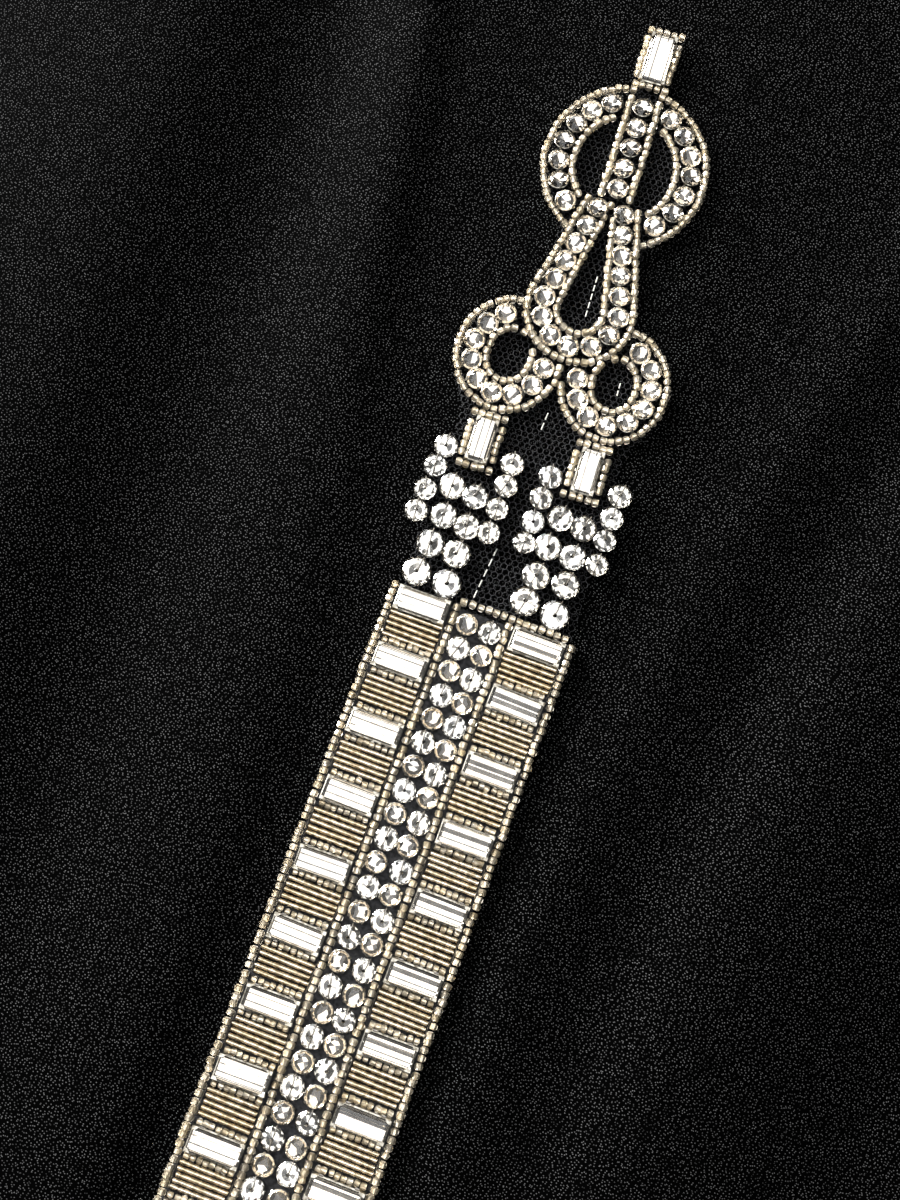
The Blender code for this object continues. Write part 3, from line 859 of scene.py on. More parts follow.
@dataclass
class ClothPanel:
    """One panel of the gown: a thin shell on its solid's form, with rounded edges and fine creases."""

    panel: Panel
    fine_pitch: float = 2.6 * MM
    fine_half_width: float = 118 * MM
    finest_share: float = 0.8
    outer_fine_ratio: float = 1.4
    fine_rise_ratio: float = 1.15
    fine_from_y: float = 300 * MM
    coarse_pitch: float = 7.5 * MM
    edge_steps: tuple[float, ...] = (0.0, 0.12 * MM, 0.4 * MM, 0.9 * MM, 1.8 * MM, 3.2 * MM)
    edge_radius: float = 0.9 * MM
    crease_end_fade_mm: float = 45
    turned_edge: float = 6 * MM
    turned_step: float = 0.10 * MM
    turned_slope: float = 0.8 * MM
    hem_depth: float = 30 * MM
    hem_slope: float = 1.2 * MM
    seam_allowance: float = 13 * MM
    seam_slope: float = 2 * MM
    calm_beside_band: tuple[float, float] = (-1 * MM, 3 * MM)
    calm_past_band: tuple[float, float] = (112 * MM, 150 * MM)
    calm_by_seam: float = 30 * MM
    armhole_foot_y: float = 530 * MM
    side_dip: float = 0.55 * MM
    side_dip_width: float = 7 * MM
    thinnest_edge: float = 0.12
    least_wall: float = 0.15 * MM
    back_clearance: float = 0.1 * MM

    @property
    def neck_drop(self) -> float:
        """Depth of this panel's neckline."""
        return CUT.front_neck_drop if self.panel is Panel.FRONT else CUT.back_neck_drop

    def steps(self, breaks: Sequence[tuple[float, float]], start: float) -> list[float]:
        """Even steps between breaks.

        Args:
            breaks: The end of each stretch and its pitch.
            start: Where the first stretch starts.

        Returns:
            The steps' places, from start to the last break.
        """
        places = [start]
        for end, pitch in breaks:
            count = max(1, round((end - start) / pitch))
            places += [start + (end - start) * (i + 1) / count for i in range(count)]
            start = end
        return places

    def columns(self) -> Array:
        """Find the panel's columns, close together under the applique and at the edges.

        Returns:
            Fractions of the half width, from -1 to 1.
        """
        wide = CUT.shoulder_tip_x
        near = self.fine_pitch if self.panel is Panel.FRONT else self.coarse_pitch
        inner = self.steps([(self.fine_half_width * self.finest_share, near),
                            (CUT.neck_half_width, near * self.outer_fine_ratio),
                            (wide - self.edge_steps[-1], self.coarse_pitch)], 0.0)
        half = [place / wide for place in inner] + [1 - step / wide for step in self.edge_steps[-2::-1]]
        return np.array([-place for place in half[:0:-1]] + half)

    def rises(self) -> Array:
        """Find the panel's rows, close together where the applique lies.

        Returns:
            Rises from 0 at the hem to 1 at the top.
        """
        length = self.neck_length
        fine = self.fine_pitch * self.fine_rise_ratio
        near = fine if self.panel is Panel.FRONT else self.coarse_pitch
        first, last = self.edge_steps[-1], length - self.edge_steps[-1]
        inner = self.steps([(self.fine_from_y - CUT.hem_y, self.coarse_pitch), (last, near)], first)
        edge = list(self.edge_steps[:-1])
        return np.array(edge + inner + [length - step for step in edge[::-1]]) / length

    @property
    def neck_length(self) -> float:
        """Length of the panel down its middle."""
        return CUT.neck_point_y - self.neck_drop - CUT.hem_y

    def wrinkle(self, x: Array, y: Array) -> Array:
        """Find what the fine creases and the cloth's own soft unevenness add.

        Args:
            x: The plan points' x.
            y: The plan points' y.

        Returns:
            The added heights.
        """
        rises = sum(LIE.fold_rise(fold, x / MM, y / MM, self.crease_end_fade_mm) for fold in FINE_CREASES)
        # Two crossed swells, a tenth of a millimetre high, with wavelengths of 80 to 400 mm
        soft = (0.10 * np.sin(x / (19 * MM) + 1.3 * np.sin(y / (47 * MM))) * np.sin(y / (63 * MM) + 0.4)
                + 0.07 * np.sin((x + 0.6 * y) / (13 * MM) + 0.9) * np.sin((y - 0.3 * x) / (38 * MM)))
        free = smoothstep(np.abs(x) - LIE.crown_half_width, *self.calm_beside_band)
        free = np.maximum(free, smoothstep(BAND_END_Y - y, *self.calm_past_band))
        seam = smoothstep(CUT.half_width(y) - np.abs(x), 0, self.calm_by_seam)
        return MM * (rises + soft) * free * seam

    def side_distance(self, fraction: Array) -> Array:
        """Distance from the panel's nearest side, near enough for its edges."""
        return (1 - np.abs(fraction)) * CUT.shoulder_tip_x

    def edge_distance(self, fraction: Array, rise: Array) -> Array:
        """Distance from the panel's nearest edge, near enough for its rounding."""
        return np.minimum(self.side_distance(fraction), np.minimum(rise, 1 - rise) * self.neck_length)

    def sewn_edges(self, fraction: Array, rise: Array, y: Array) -> Array:
        """Find the faint steps where the turned edges and the hem lie double inside.

        Args:
            fraction: Places across the panel, from -1 to 1.
            rise: Places up the panel, from 0 to 1.
            y: Heights on the gown.

        Returns:
            The added heights.
        """
        top = (1 - rise) * self.neck_length
        side = self.side_distance(fraction)
        armhole = (y > self.armhole_foot_y).astype(float)
        from_edge = np.minimum(top, side + (1 - armhole))
        turned = 1 - smoothstep(from_edge, self.turned_edge, self.turned_edge + self.turned_slope)
        hem = 1 - smoothstep(rise * self.neck_length, self.hem_depth, self.hem_depth + self.hem_slope)
        seam = 1 - smoothstep(side, self.seam_allowance, self.seam_allowance + self.seam_slope)
        seam = (1 - armhole) * seam
        return self.turned_step * (turned + hem + seam)

    def stitch_height(self, plan: Array) -> Array:
        """Find the height of the panel's outer face along its stitching.

        Args:
            plan: Rows of x and y on the gown.

        Returns:
            The heights there.
        """
        if self.panel is Panel.BACK:
            return np.full(len(plan), CUT.wall)
        return LIE.outside(plan[:, 0], plan[:, 1]) + self.wrinkle(plan[:, 0], plan[:, 1]) + self.turned_step

    def build(self) -> bpy.types.Object:
        """Make the panel.

        Returns:
            The panel's piece.
        """
        fraction, rise = np.meshgrid(self.columns(), self.rises())
        x, y = CUT.panel_point(fraction, rise, self.neck_drop)
        rim = self.edge_distance(fraction, rise)
        round_off = np.sqrt(np.clip(1 - (1 - np.minimum(rim / self.edge_radius, 1)) ** 2, 0, 1))
        half = CUT.wall / 2 * (self.thinnest_edge + (1 - self.thinnest_edge) * round_off)
        if self.panel is Panel.FRONT:
            middle = LIE.inside(x, y) + CUT.wall / 2
            dip = 1 - smoothstep(self.side_distance(fraction), 0, self.side_dip_width)
            middle -= self.side_dip * dip * (y < self.armhole_foot_y)
            creases = self.wrinkle(x, y)
            upper = middle + half + creases + self.sewn_edges(fraction, rise, y)
            lower = np.maximum(middle - half + creases, CUT.wall + self.back_clearance)
            upper = np.maximum(upper, lower + self.least_wall)
        else:
            middle = np.full_like(x, CUT.wall / 2)
            upper, lower = middle + half, middle - half
        name = f"{self.panel.value}_crepe"
        mesh = self.shell_mesh(name, np.dstack((x, y, upper)), np.dstack((x, y, lower)))
        return add_piece(name, mesh, [CREPE], "black_crepe", f"{self.panel.value}_panel")

    def shell_mesh(self, name: str, upper: Array, lower: Array) -> bpy.types.Mesh:
        """Make a closed shell between two grids of points.

        Args:
            name: The mesh's name.
            upper: The grid on the outside.
            lower: The grid under it.

        Returns:
            The mesh.
        """
        rows, columns, _ = upper.shape
        points = np.vstack((upper.reshape(-1, 3), lower.reshape(-1, 3)))
        number = np.arange(rows * columns).reshape(rows, columns)
        a, b, c, d = number[:-1, :-1], number[:-1, 1:], number[1:, 1:], number[1:, :-1]
        over = np.stack((a, b, c, d), axis=-1).reshape(-1, 4)
        under = np.stack((a, d, c, b), axis=-1).reshape(-1, 4) + rows * columns
        loop = np.concatenate((number[0, :-1], number[:-1, -1], number[-1, :0:-1], number[:0:-1, 0]))
        ahead = np.roll(loop, -1)
        rim = np.stack((loop, loop + rows * columns, ahead + rows * columns, ahead), axis=-1)
        mesh = bpy.data.meshes.new(name)
        mesh.from_pydata(points, [], np.vstack((over, under, rim)).tolist())
        mesh.polygons.foreach_set("use_smooth", [True] * len(mesh.polygons))
        return mesh


# ---------------------------------------------------------------- the applique's plan


@dataclass(frozen=True)
class Plot:
    """A plan frame of the applique: its own across and along, turned by a lean about a pivot."""

    lean: float = 0.0
    pivot: tuple[float, float] = (0.0, 0.0)

    def to_gown(self, points: Array) -> Array:
        """Place points of the plot on the gown.

        Args:
            points: Rows of across and along.

        Returns:
            Rows of the gown's x and y.
        """
        across, along = points[:, 0], points[:, 1] - self.pivot[1]
        cos, sin = math.cos(self.lean), math.sin(self.lean)
        new_across = across * cos - along * sin + self.pivot[0]
        new_along = across * sin + along * cos + self.pivot[1]
        return np.column_stack((-new_across, BAND_END_Y - new_along))

    def heading(self, angle: float) -> float:
        """A heading in this plot as one on the gown."""
        return angle + self.lean + math.pi


BAND_PLOT = Plot()
MOTIF_PLOT = Plot(lean=math.radians(3.2), pivot=(-0.8 * MM, 20 * MM))
NET_OVER_CREPE = 0.65 * MM
BEADS_OVER_NET = 0.10 * MM
ARC_POINTS = 97


def net_height(plan: Array) -> Array:
    """Height of the net's middle at plan points."""
    return LIE.outside(plan[:, 0], plan[:, 1]) + NET_OVER_CREPE


def resample(path: Array, count: int) -> Array:
    """Step evenly along a path.

    Args:
        path: Its points.
        count: How many steps.

    Returns:
        One point more than there are steps.
    """
    lengths = np.concatenate(([0.0], np.cumsum(np.linalg.norm(np.diff(path, axis=0), axis=1))))
    targets = np.linspace(0, lengths[-1], count + 1)
    return np.column_stack([np.interp(targets, lengths, path[:, k]) for k in range(2)])


def path_length(path: Array) -> float:
    """Length of a path."""
    return float(np.linalg.norm(np.diff(path, axis=0), axis=1).sum())


def straight(across_0: float, along_0: float, across_1: float, along_1: float) -> Array:
    """A straight path between two points."""
    return np.array([(across_0, along_0), (across_1, along_1)])


def ellipse_arc(centre: tuple[float, float], radii: tuple[float, float], start: float, end: float,
                grow: float = 0.0) -> Array:
    """Points of an ellipse's arc.

    Args:
        centre: Its middle.
        radii: Its radii across and along.
        start: Where it starts, in degrees from the across axis.
        end: Where it ends, in degrees.
        grow: What is added to both radii.

    Returns:
        The arc's points.
    """
    angles = np.radians(np.linspace(start, end, ARC_POINTS))
    across = centre[0] + (radii[0] + grow) * np.cos(angles)
    along = centre[1] + (radii[1] + grow) * np.sin(angles)
    return np.column_stack((across, along))


class Slot(IntEnum):
    """The material slots that every pile of beads shares."""

    GLASS = 0
    LINING = 1
    CRYSTAL = 2
    FOIL = 3
    METAL = 4
    THREAD = 5
    SATIN = 6
    BUGLE_LINING = 7


BEAD_FINISHES = (
    BEAD_GLASS, BEAD_LINING, CRYSTAL, FOIL, CLAW_METAL, BEADING_THREAD, SATIN_FOIL, BUGLE_LINING,
)


class KeelStep(NamedTuple):
    """One step of a baguette's foiled back.

    Its share is of the stone's half width, and its height is in millimetres.
    """

    share: float
    height: float


BRIGHT_KEEL = (KeelStep(0.86, 0.460), KeelStep(0.72, 0.400), KeelStep(0.38, 0.380), KeelStep(0.28, 0.320),
               KeelStep(0.04, 0.305))
DEEP_KEEL = (KeelStep(0.86, 0.500), KeelStep(0.74, 0.430), KeelStep(0.46, 0.405), KeelStep(0.36, 0.350),
             KeelStep(0.06, 0.240))


class BeadKit:
    """The forms that the applique is sewn from. Each stands on its origin, with its long side along X."""

    @staticmethod
    def cane(length: float, radius: float, hole: float, chamfer: float, sides: int, lining: Slot,
             roll: float = 0.0) -> Form:
        """Make a bead cut from cane: a glass barrel round a silvered hole, lying along X.

        Args:
            length: The bead's length.
            radius: Its radius.
            hole: The hole's radius.
            chamfer: How much the fire-polish takes off each end.
            sides: How many sides it has.
            lining: The slot of the hole's silvering.
            roll: How far it is rolled, as a share of one side.

        Returns:
            The bead.
        """
        form = Form()
        half, shoulder = length / 2, length / 2 - chamfer
        profile = ((-half, hole), (-half, radius - chamfer), (-shoulder, radius),
                   (shoulder, radius), (half, radius - chamfer), (half, hole))
        angles = [2 * math.pi * (k + roll) / sides for k in range(sides)]
        rings = [form.ring([(x, r * math.cos(a), radius + r * math.sin(a)) for a in angles])
                 for x, r in profile]
        for here, there in zip(rings, rings[1:]):
            form.bridge(here, there, Slot.GLASS, True)
        form.bridge(rings[-1], rings[0], lining, True)
        return form

    @staticmethod
    def circle(radius: float, height: float, sides: int, turn: float = 0.0) -> list[Point]:
        """Points round a level circle, anticlockwise from above."""
        angles = [2 * math.pi * (k + turn) / sides for k in range(sides)]
        return [(radius * math.cos(a), radius * math.sin(a), height) for a in angles]

    @staticmethod
    def chaton(radius: float) -> Form:
        """Make a round flat-backed stone in a plated cup: table, stars, kites and girdle facets over a foil.

        Args:
            radius: The stone's radius.

        Returns:
            The stone in its setting.
        """
        form = Form()
        girdle_z, mid_z, table_z, back_z, point_z = (z * MM for z in (0.86, 1.14, 1.34, 0.34, 0.16))
        girdle = form.ring(BeadKit.circle(radius, girdle_z, 16))
        middle = form.ring(BeadKit.circle(0.80 * radius, mid_z, 8, 0.5))
        table = form.ring(BeadKit.circle(0.50 * radius, table_z, 8))
        form.face(table, Slot.CRYSTAL)
        for k in range(8):
            after, before = (k + 1) % 8, (k - 1) % 8
            form.face((table[k], middle[k], table[after]), Slot.CRYSTAL)
            form.face((table[k], middle[before], girdle[2 * k], middle[k]), Slot.CRYSTAL)
            form.face((middle[k], girdle[2 * k], girdle[2 * k + 1]), Slot.CRYSTAL)
            form.face((middle[k], girdle[2 * k + 1], girdle[(2 * k + 2) % 16]), Slot.CRYSTAL)
        back = form.ring(BeadKit.circle(0.70 * radius, back_z, 16))
        form.bridge(back, girdle, Slot.FOIL)
        point = form.ring([(0.0, 0.0, point_z)])[0]
        for k in range(0, 16, 2):
            form.face((back[(k + 2) % 16], back[k + 1], back[k], point), Slot.FOIL)
        foot = form.ring(BeadKit.circle(radius * 0.86, 0, 16))
        rim = form.ring(BeadKit.circle(radius * 1.05, girdle_z * 0.92, 16))
        lip = form.ring(BeadKit.circle(radius * 0.99, girdle_z * 0.98, 16))
        form.bridge(foot, rim, Slot.METAL, True)
        form.bridge(rim, lip, Slot.METAL)
        form.face(foot[::-1], Slot.METAL)
        for k in range(4):
            BeadKit.claw(form, radius, math.pi * (2 * k + 1) / 4, girdle_z)
        return form

    @staticmethod
    def claw(form: Form, reach: float, angle: float, girdle: float) -> None:
        """Add one claw of a round setting, bent in over the stone's edge.

        Args:
            form: The stone that it is added to.
            reach: The stone's radius.
            angle: Where the claw stands, in radians.
            girdle: Height of the stone's girdle.
        """
        half, cos, sin = 0.17 * MM, math.cos(angle), math.sin(angle)
        profile = ((1.10, 0.30), (1.12, 1.05), (0.90, 1.52), (0.84, 1.40), (0.99, 0.98), (1.0, 0.30))
        left, right = (form.ring([(reach * r * cos - side * sin, reach * r * sin + side * cos, girdle * z)
                                  for r, z in profile]) for side in (-half, half))
        for k in range(len(profile)):
            after = (k + 1) % len(profile)
            form.face((left[k], right[k], right[after], left[after]), Slot.METAL, True)
        form.face(left, Slot.METAL)
        form.face(right[::-1], Slot.METAL)

    @staticmethod
    def disc(radius: float) -> Form:
        """Make a flat round stone, pierced and foiled behind, with a table and a faceted margin.

        Args:
            radius: The stone's radius.

        Returns:
            The stone.
        """
        form = Form()
        sides, hole = 16, 0.22 * MM
        foot = form.ring(BeadKit.circle(radius * 0.84, 0.12 * MM, sides))
        rim = form.ring(BeadKit.circle(radius, 0.52 * MM, sides))
        brim = form.ring(BeadKit.circle(radius * 0.985, 0.66 * MM, sides))
        table = form.ring(BeadKit.circle(radius * 0.68, 1.06 * MM, sides, 0.5))
        eye = form.ring(BeadKit.circle(hole * 1.4, 1.20 * MM, sides, 0.5))
        floor = form.ring(BeadKit.circle(hole, 0.34 * MM, sides, 0.5))
        inner = form.ring(BeadKit.circle(radius * 0.52, 0.18 * MM, sides, 0.5))
        fluting = BeadKit.circle(radius * 0.70, 0.0, sides, 0.5)
        flutes = form.ring([(x, y, (0.11 if k % 2 else 0.20) * MM) for k, (x, y, _) in enumerate(fluting)])
        form.bridge(floor, inner, Slot.SATIN)
        form.bridge(inner, flutes, Slot.SATIN)
        form.bridge(rim, brim, Slot.CRYSTAL)
        form.bridge(table, eye, Slot.CRYSTAL)
        form.bridge(eye, floor, Slot.CRYSTAL, True)
        form.bridge(foot, rim, Slot.FOIL)
        for k in range(sides):
            after = (k + 1) % sides
            form.face((brim[k], brim[after], table[k]), Slot.CRYSTAL)
            form.face((brim[after], table[after], table[k]), Slot.CRYSTAL)
            form.face((foot[k], flutes[k], foot[after]), Slot.SATIN)
            form.face((foot[after], flutes[k], flutes[after]), Slot.SATIN)
        return form

    @staticmethod
    def oblong(half_x: float, half_y: float, height: float) -> list[Point]:
        """Corners of a level rectangle, anticlockwise from above."""
        corners = ((-half_x, -half_y), (half_x, -half_y), (half_x, half_y), (-half_x, half_y))
        return [(x, y, height) for x, y in corners]

    @staticmethod
    def baguette(length: float, width: float, steps: Sequence[KeelStep]) -> Form:
        """Make a step-cut oblong stone over a foiled keel, in a claw setting with sewing slots, each filled
        by a dark block of thread: the thread sewn through it and painted shade in the open slot.

        Args:
            length: The setting's length.
            width: Its width.
            steps: The keel's steps, from the girdle inwards.

        Returns:
            The stone in its setting.
        """
        form = Form()
        a, b = length / 2, width / 2
        stone_a, stone_b = a - 0.18 * MM, b - 0.22 * MM
        girdle = form.ring(BeadKit.oblong(stone_a, stone_b, 1.02 * MM))
        crown = [girdle]
        for inset, height in ((0.24, 1.30), (0.46, 1.44)):
            crown.append(form.ring(BeadKit.oblong(stone_a - inset * MM, stone_b - inset * MM, height * MM)))
            form.bridge(crown[-2], crown[-1], Slot.CRYSTAL)
        form.face(crown[-1], Slot.CRYSTAL)
        keel = [girdle]
        for share, height in steps:
            inset = (1 - share) * stone_b
            keel.append(form.ring(BeadKit.oblong(stone_a - 0.15 * inset, share * stone_b, height * MM)))
            form.bridge(keel[-1], keel[-2], Slot.FOIL)
        form.face(keel[-1][::-1], Slot.FOIL)
        foot = form.ring(BeadKit.oblong(a, b, 0.0))
        rim = form.ring(BeadKit.oblong(a, b, 0.86 * MM))
        lip = form.ring(BeadKit.oblong(stone_a, stone_b, 0.94 * MM))
        form.bridge(foot, rim, Slot.METAL)
        form.bridge(rim, lip, Slot.METAL)
        form.face(foot[::-1], Slot.METAL)
        for sx in (-1, 1):
            for sy in (-1, 1):
                BeadKit.corner_claw(form, sx * a, sy * b, sx, sy)
                # Each sewing slot is filled with a block of beading thread: partly the thread, partly
                # painted shade where the slot stands open
                slot_x, slot_y = sx * (a - 1.45 * MM), sy * (b - 0.02 * MM)
                form.box((slot_x - 0.34 * MM, slot_y - 0.14 * MM, 0.30 * MM),
                         (slot_x + 0.34 * MM, slot_y + 0.14 * MM, 0.93 * MM), Slot.THREAD)
        return form

    @staticmethod
    def corner_claw(form: Form, x: float, y: float, sx: int, sy: int) -> None:
        """Add one claw at a corner of an oblong setting, folded over the stone.

        Args:
            form: The setting that it is added to.
            x: The corner's x.
            y: The corner's y.
            sx: Which way the corner faces along X, 1 or -1.
            sy: Which way it faces along Y, 1 or -1.
        """
        out, reach = 0.10 * MM, 0.95 * MM
        low = [(x + sx * out, y - sy * reach * 0.55), (x + sx * out, y + sy * out),
               (x - sx * reach, y + sy * out), (x - sx * reach * 0.55, y - sy * reach * 0.45)]
        if sx * sy < 0:
            low.reverse()
        under = form.ring([(px, py, 0.35 * MM) for px, py in low])
        over = form.ring([(px - sx * 0.12 * MM, py - sy * 0.12 * MM, 1.46 * MM) for px, py in low])
        form.bridge(under, over, Slot.METAL)
        form.face(over, Slot.METAL)
        form.face(under[::-1], Slot.METAL)


class SeedStock(NamedTuple):
    """One size of seed: its forms, rolled in several ways, with its spacing and radius."""

    forms: Sequence[Form]
    pitch: float
    radius: float


class BeadLayer:
    """One side's or strand's beads, as a pile that keeps clear of what is already sewn down."""

    taken: list[Point] = []
    crowding = 0.74
    seed_wobble = 0.05 * MM
    seed_size_spread = 0.04
    seed_tilt = 0.09

    def __init__(self, name: str, plot: Plot) -> None:
        """Start a layer.

        Args:
            name: The piece's name.
            plot: The plan frame that its paths are in.
        """
        self.pile = Pile(name)
        self.plot = plot

    def is_free(self, place: Array, radius: float) -> bool:
        """Test whether a round patch of the gown is clear of the beads sewn so far.

        Args:
            place: The patch's x and y on the gown.
            radius: Its radius.

        Returns:
            Whether it is clear.
        """
        if not BeadLayer.taken:
            return True
        others = np.array(BeadLayer.taken)
        apart = np.hypot(others[:, 0] - place[0], others[:, 1] - place[1])
        return bool(np.all(apart > self.crowding * (others[:, 2] + radius)))

    def sew(self, form: Form, point: Sequence[float], heading: float, radius: float, rise: float = 0.0,
            tilt: float = 0.0, scale: float | Sequence[float] = 1.0, check: bool = True) -> bool:
        """Sew one bead or stone down.

        Args:
            form: What is sewn.
            point: Its across and along.
            heading: Which way its X points in the plot.
            radius: Half the room that it takes in plan.
            rise: Height of its foot over the net.
            tilt: Largest random tilt.
            scale: Its scale.
            check: Whether it is left out where a bead is already.

        Returns:
            Whether there was room for it.
        """
        place = self.plot.to_gown(np.array([point]))[0]
        if check and not self.is_free(place, radius):
            return False
        BeadLayer.taken.append((place[0], place[1], radius))
        height = float(net_height(place[None])[0]) + BEADS_OVER_NET + rise
        self.pile.set_down(form, (place[0], place[1], height), self.plot.heading(heading), tilt, scale)
        return True

    def seed_row(self, stock: SeedStock, path: Array, check: bool = True) -> None:
        """Sew a row of seeds along a path, each a little uneven.

        Args:
            stock: The seeds, whose spacing is stretched to fill the path.
            path: Its across and along points.
            check: Whether seeds keep clear of what is there.
        """
        count = max(1, round(path_length(path) / stock.pitch))
        steps = resample(path, 2 * count)
        for i in range(count):
            before, here, after = steps[2 * i], steps[2 * i + 1], steps[2 * i + 2]
            heading = math.atan2(after[1] - before[1], after[0] - before[0])
            wobble = self.pile.random.normal(0, self.seed_wobble, 2)
            size = self.pile.random.normal(1, self.seed_size_spread)
            form = stock.forms[self.pile.random.integers(len(stock.forms))]
            turn = heading + self.pile.random.normal(0, self.seed_tilt)
            self.sew(form, here + wobble, turn, stock.radius, 0.0, self.seed_tilt, (size, size, size), check)


@dataclass(frozen=True)
class BeadSizes:
    """The stock sizes that the applique is sewn from."""

    seed_length: float = 1.06 * MM
    seed_radius: float = 0.70 * MM
    seed_pitch: float = 1.30 * MM
    small_length: float = 0.90 * MM
    small_radius: float = 0.60 * MM
    small_pitch: float = 1.10 * MM
    bugle_length: float = 8.9 * MM
    bugle_radius: float = 0.47 * MM
    bugle_pitch: float = 0.97 * MM
    bugle_count: int = 5
    stone_radius: float = 1.76 * MM
    stone_rise: float = 0.15 * MM
    small_disc: float = 2.02 * MM
    disc_rise: float = 0.10 * MM
    side_axis: float = 9.15 * MM


SIZES = BeadSizes()


ROLLS = (0.0, 0.28, 0.5, 0.77)
SEEDS, SMALL_SEEDS = (
    SeedStock([BeadKit.cane(length, radius, hole, chamfer, 8, Slot.LINING, roll) for roll in ROLLS],
              pitch, radius)
    for length, radius, hole, chamfer, pitch in (
        (SIZES.seed_length, SIZES.seed_radius, 0.44 * MM, 0.20 * MM, SIZES.seed_pitch),
        (SIZES.small_length, SIZES.small_radius, 0.36 * MM, 0.16 * MM, SIZES.small_pitch),
    )
)
BUGLE = BeadKit.cane(SIZES.bugle_length, SIZES.bugle_radius, hole=0.31 * MM, chamfer=0.05 * MM, sides=12,
                     lining=Slot.BUGLE_LINING)
CHATON = BeadKit.chaton(SIZES.stone_radius)
DISC = BeadKit.disc(SIZES.small_disc)


@dataclass
class BandColumn:
    """A side column of the band: baguettes in claws, with bugles between rows of seeds in each bay."""

    side_name: str
    side: int
    outer_row: float = 15.25 * MM
    inner_row: float = 4.5 * MM
    small_row_inset: float = 1.1 * MM
    centre: float = 9.9 * MM
    end_row: float = 0.5 * MM
    end_clear: float = 0.8 * MM
    baguette: tuple[float, float] = (8.8 * MM, 4.1 * MM)
    stone_room: float = 1.5 * MM
    stone_rise: float = 0.25 * MM
    stone_tilt: float = 0.06
    stone_turn: float = 0.015
    stone_lean: float = 0.08
    bugle_rise: float = 0.05 * MM
    bugle_wobble: float = 0.06 * MM
    bugle_stretch: tuple[float, float] = (0.96, 1.02)
    bugle_turn: float = 0.008
    bugle_tilt: float = 0.01
    thread_rise: float = 0.5 * MM
    thread_top: float = 0.75 * MM
    thread_offset: float = 0.12 * MM

    def baguette_places(self) -> list[float]:
        """Where the baguettes lie along the band, from its tip end to the neckline."""
        return [-FIRST_BAGUETTE] + [-SECOND_BAGUETTE - i * BAY_PITCH for i in range(BAY_COUNT - 1)]

    def build(self) -> list[bpy.types.Object]:
        """Sew the column.

        Returns:
            Its pieces: the beads and the baguettes.
        """
        beads = BeadLayer(f"band_{self.side_name}_beads", BAND_PLOT)
        stones = BeadLayer(f"band_{self.side_name}_baguettes", BAND_PLOT)
        for across in (self.outer_row, self.inner_row):
            row = straight(self.side * across, 0.0, self.side * across, -BAND_LENGTH)
            beads.seed_row(SEEDS, row)
        on_left = self.side < 0
        end = -self.inner_row if on_left else self.outer_row - self.end_clear
        beads.seed_row(SEEDS, straight(0.0, self.end_row, end, self.end_row))
        form = BeadKit.baguette(*self.baguette, BRIGHT_KEEL if on_left else DEEP_KEEL)
        form.lean(0.0 if on_left else self.stone_lean)
        places = self.baguette_places()
        middle = self.side * self.centre
        half = self.baguette[1] / 2
        for i, along in enumerate(places):
            turn = stones.pile.random.normal(0, self.stone_turn)
            stones.sew(form, (middle, along), turn, self.stone_room, self.stone_rise, self.stone_tilt,
                       check=False)
            if i > 0:
                self.small_row(beads, along + half + SIZES.small_radius)
            if i + 1 < len(places):
                below = along - half
                if i > 0:
                    self.small_row(beads, below - SIZES.small_radius)
                    below -= 2 * SIZES.small_radius
                self.bugles(beads, middle, below)
        return [beads.pile.piece(BEAD_FINISHES, "silver_lined_beads", f"band_{self.side_name}"),
                stones.pile.piece(BEAD_FINISHES, "foiled_crystal")]

    def small_row(self, beads: BeadLayer, along: float) -> None:
        """Sew a row of small seeds across the column.

        Args:
            beads: The layer that they belong to.
            along: Where the row lies along the band.
        """
        inner = self.side * (self.inner_row + self.small_row_inset)
        outer = self.side * (self.outer_row - self.small_row_inset)
        beads.seed_row(SMALL_SEEDS, straight(inner, along, outer, along), False)

    def bugles(self, beads: BeadLayer, middle: float, top: float) -> None:
        """Sew one bay's bugles.

        Args:
            beads: The layer that they belong to.
            middle: The column's middle, across.
            top: Where the first bugle's edge lies along the band.
        """
        draw = beads.pile.random
        for k in range(SIZES.bugle_count):
            along = top - SIZES.bugle_radius - k * SIZES.bugle_pitch
            wobble = draw.normal(0, self.bugle_wobble)
            stretch = draw.uniform(*self.bugle_stretch)
            beads.sew(BUGLE, (middle + wobble, along), draw.normal(0, self.bugle_turn), SIZES.bugle_radius,
                      self.bugle_rise, self.bugle_tilt, (stretch, 1, 1), False)
        end = top - SIZES.bugle_count * SIZES.bugle_pitch
        for edge in (-1, 1):
            across = middle + edge * (SIZES.bugle_length / 2 + self.thread_offset)
            bowed = across + edge * self.thread_offset
            lay_thread(beads, [(across, top, self.thread_rise), (bowed, (top + end) / 2, self.thread_top),
                               (across, end, self.thread_rise)])


def lay_thread(layer: BeadLayer, route: Sequence[Point], radius: float = 0.075 * MM) -> None:
    """Lay a beading thread.

    Args:
        layer: The layer that it belongs to.
        route: Points of across, along and height over the net.
        radius: The thread's radius.
    """
    flat = np.array(route)
    plan = layer.plot.to_gown(flat[:, :2])
    path = np.column_stack((plan, net_height(plan) + flat[:, 2]))
    layer.pile.tube(path, radius, Slot.THREAD, 5)


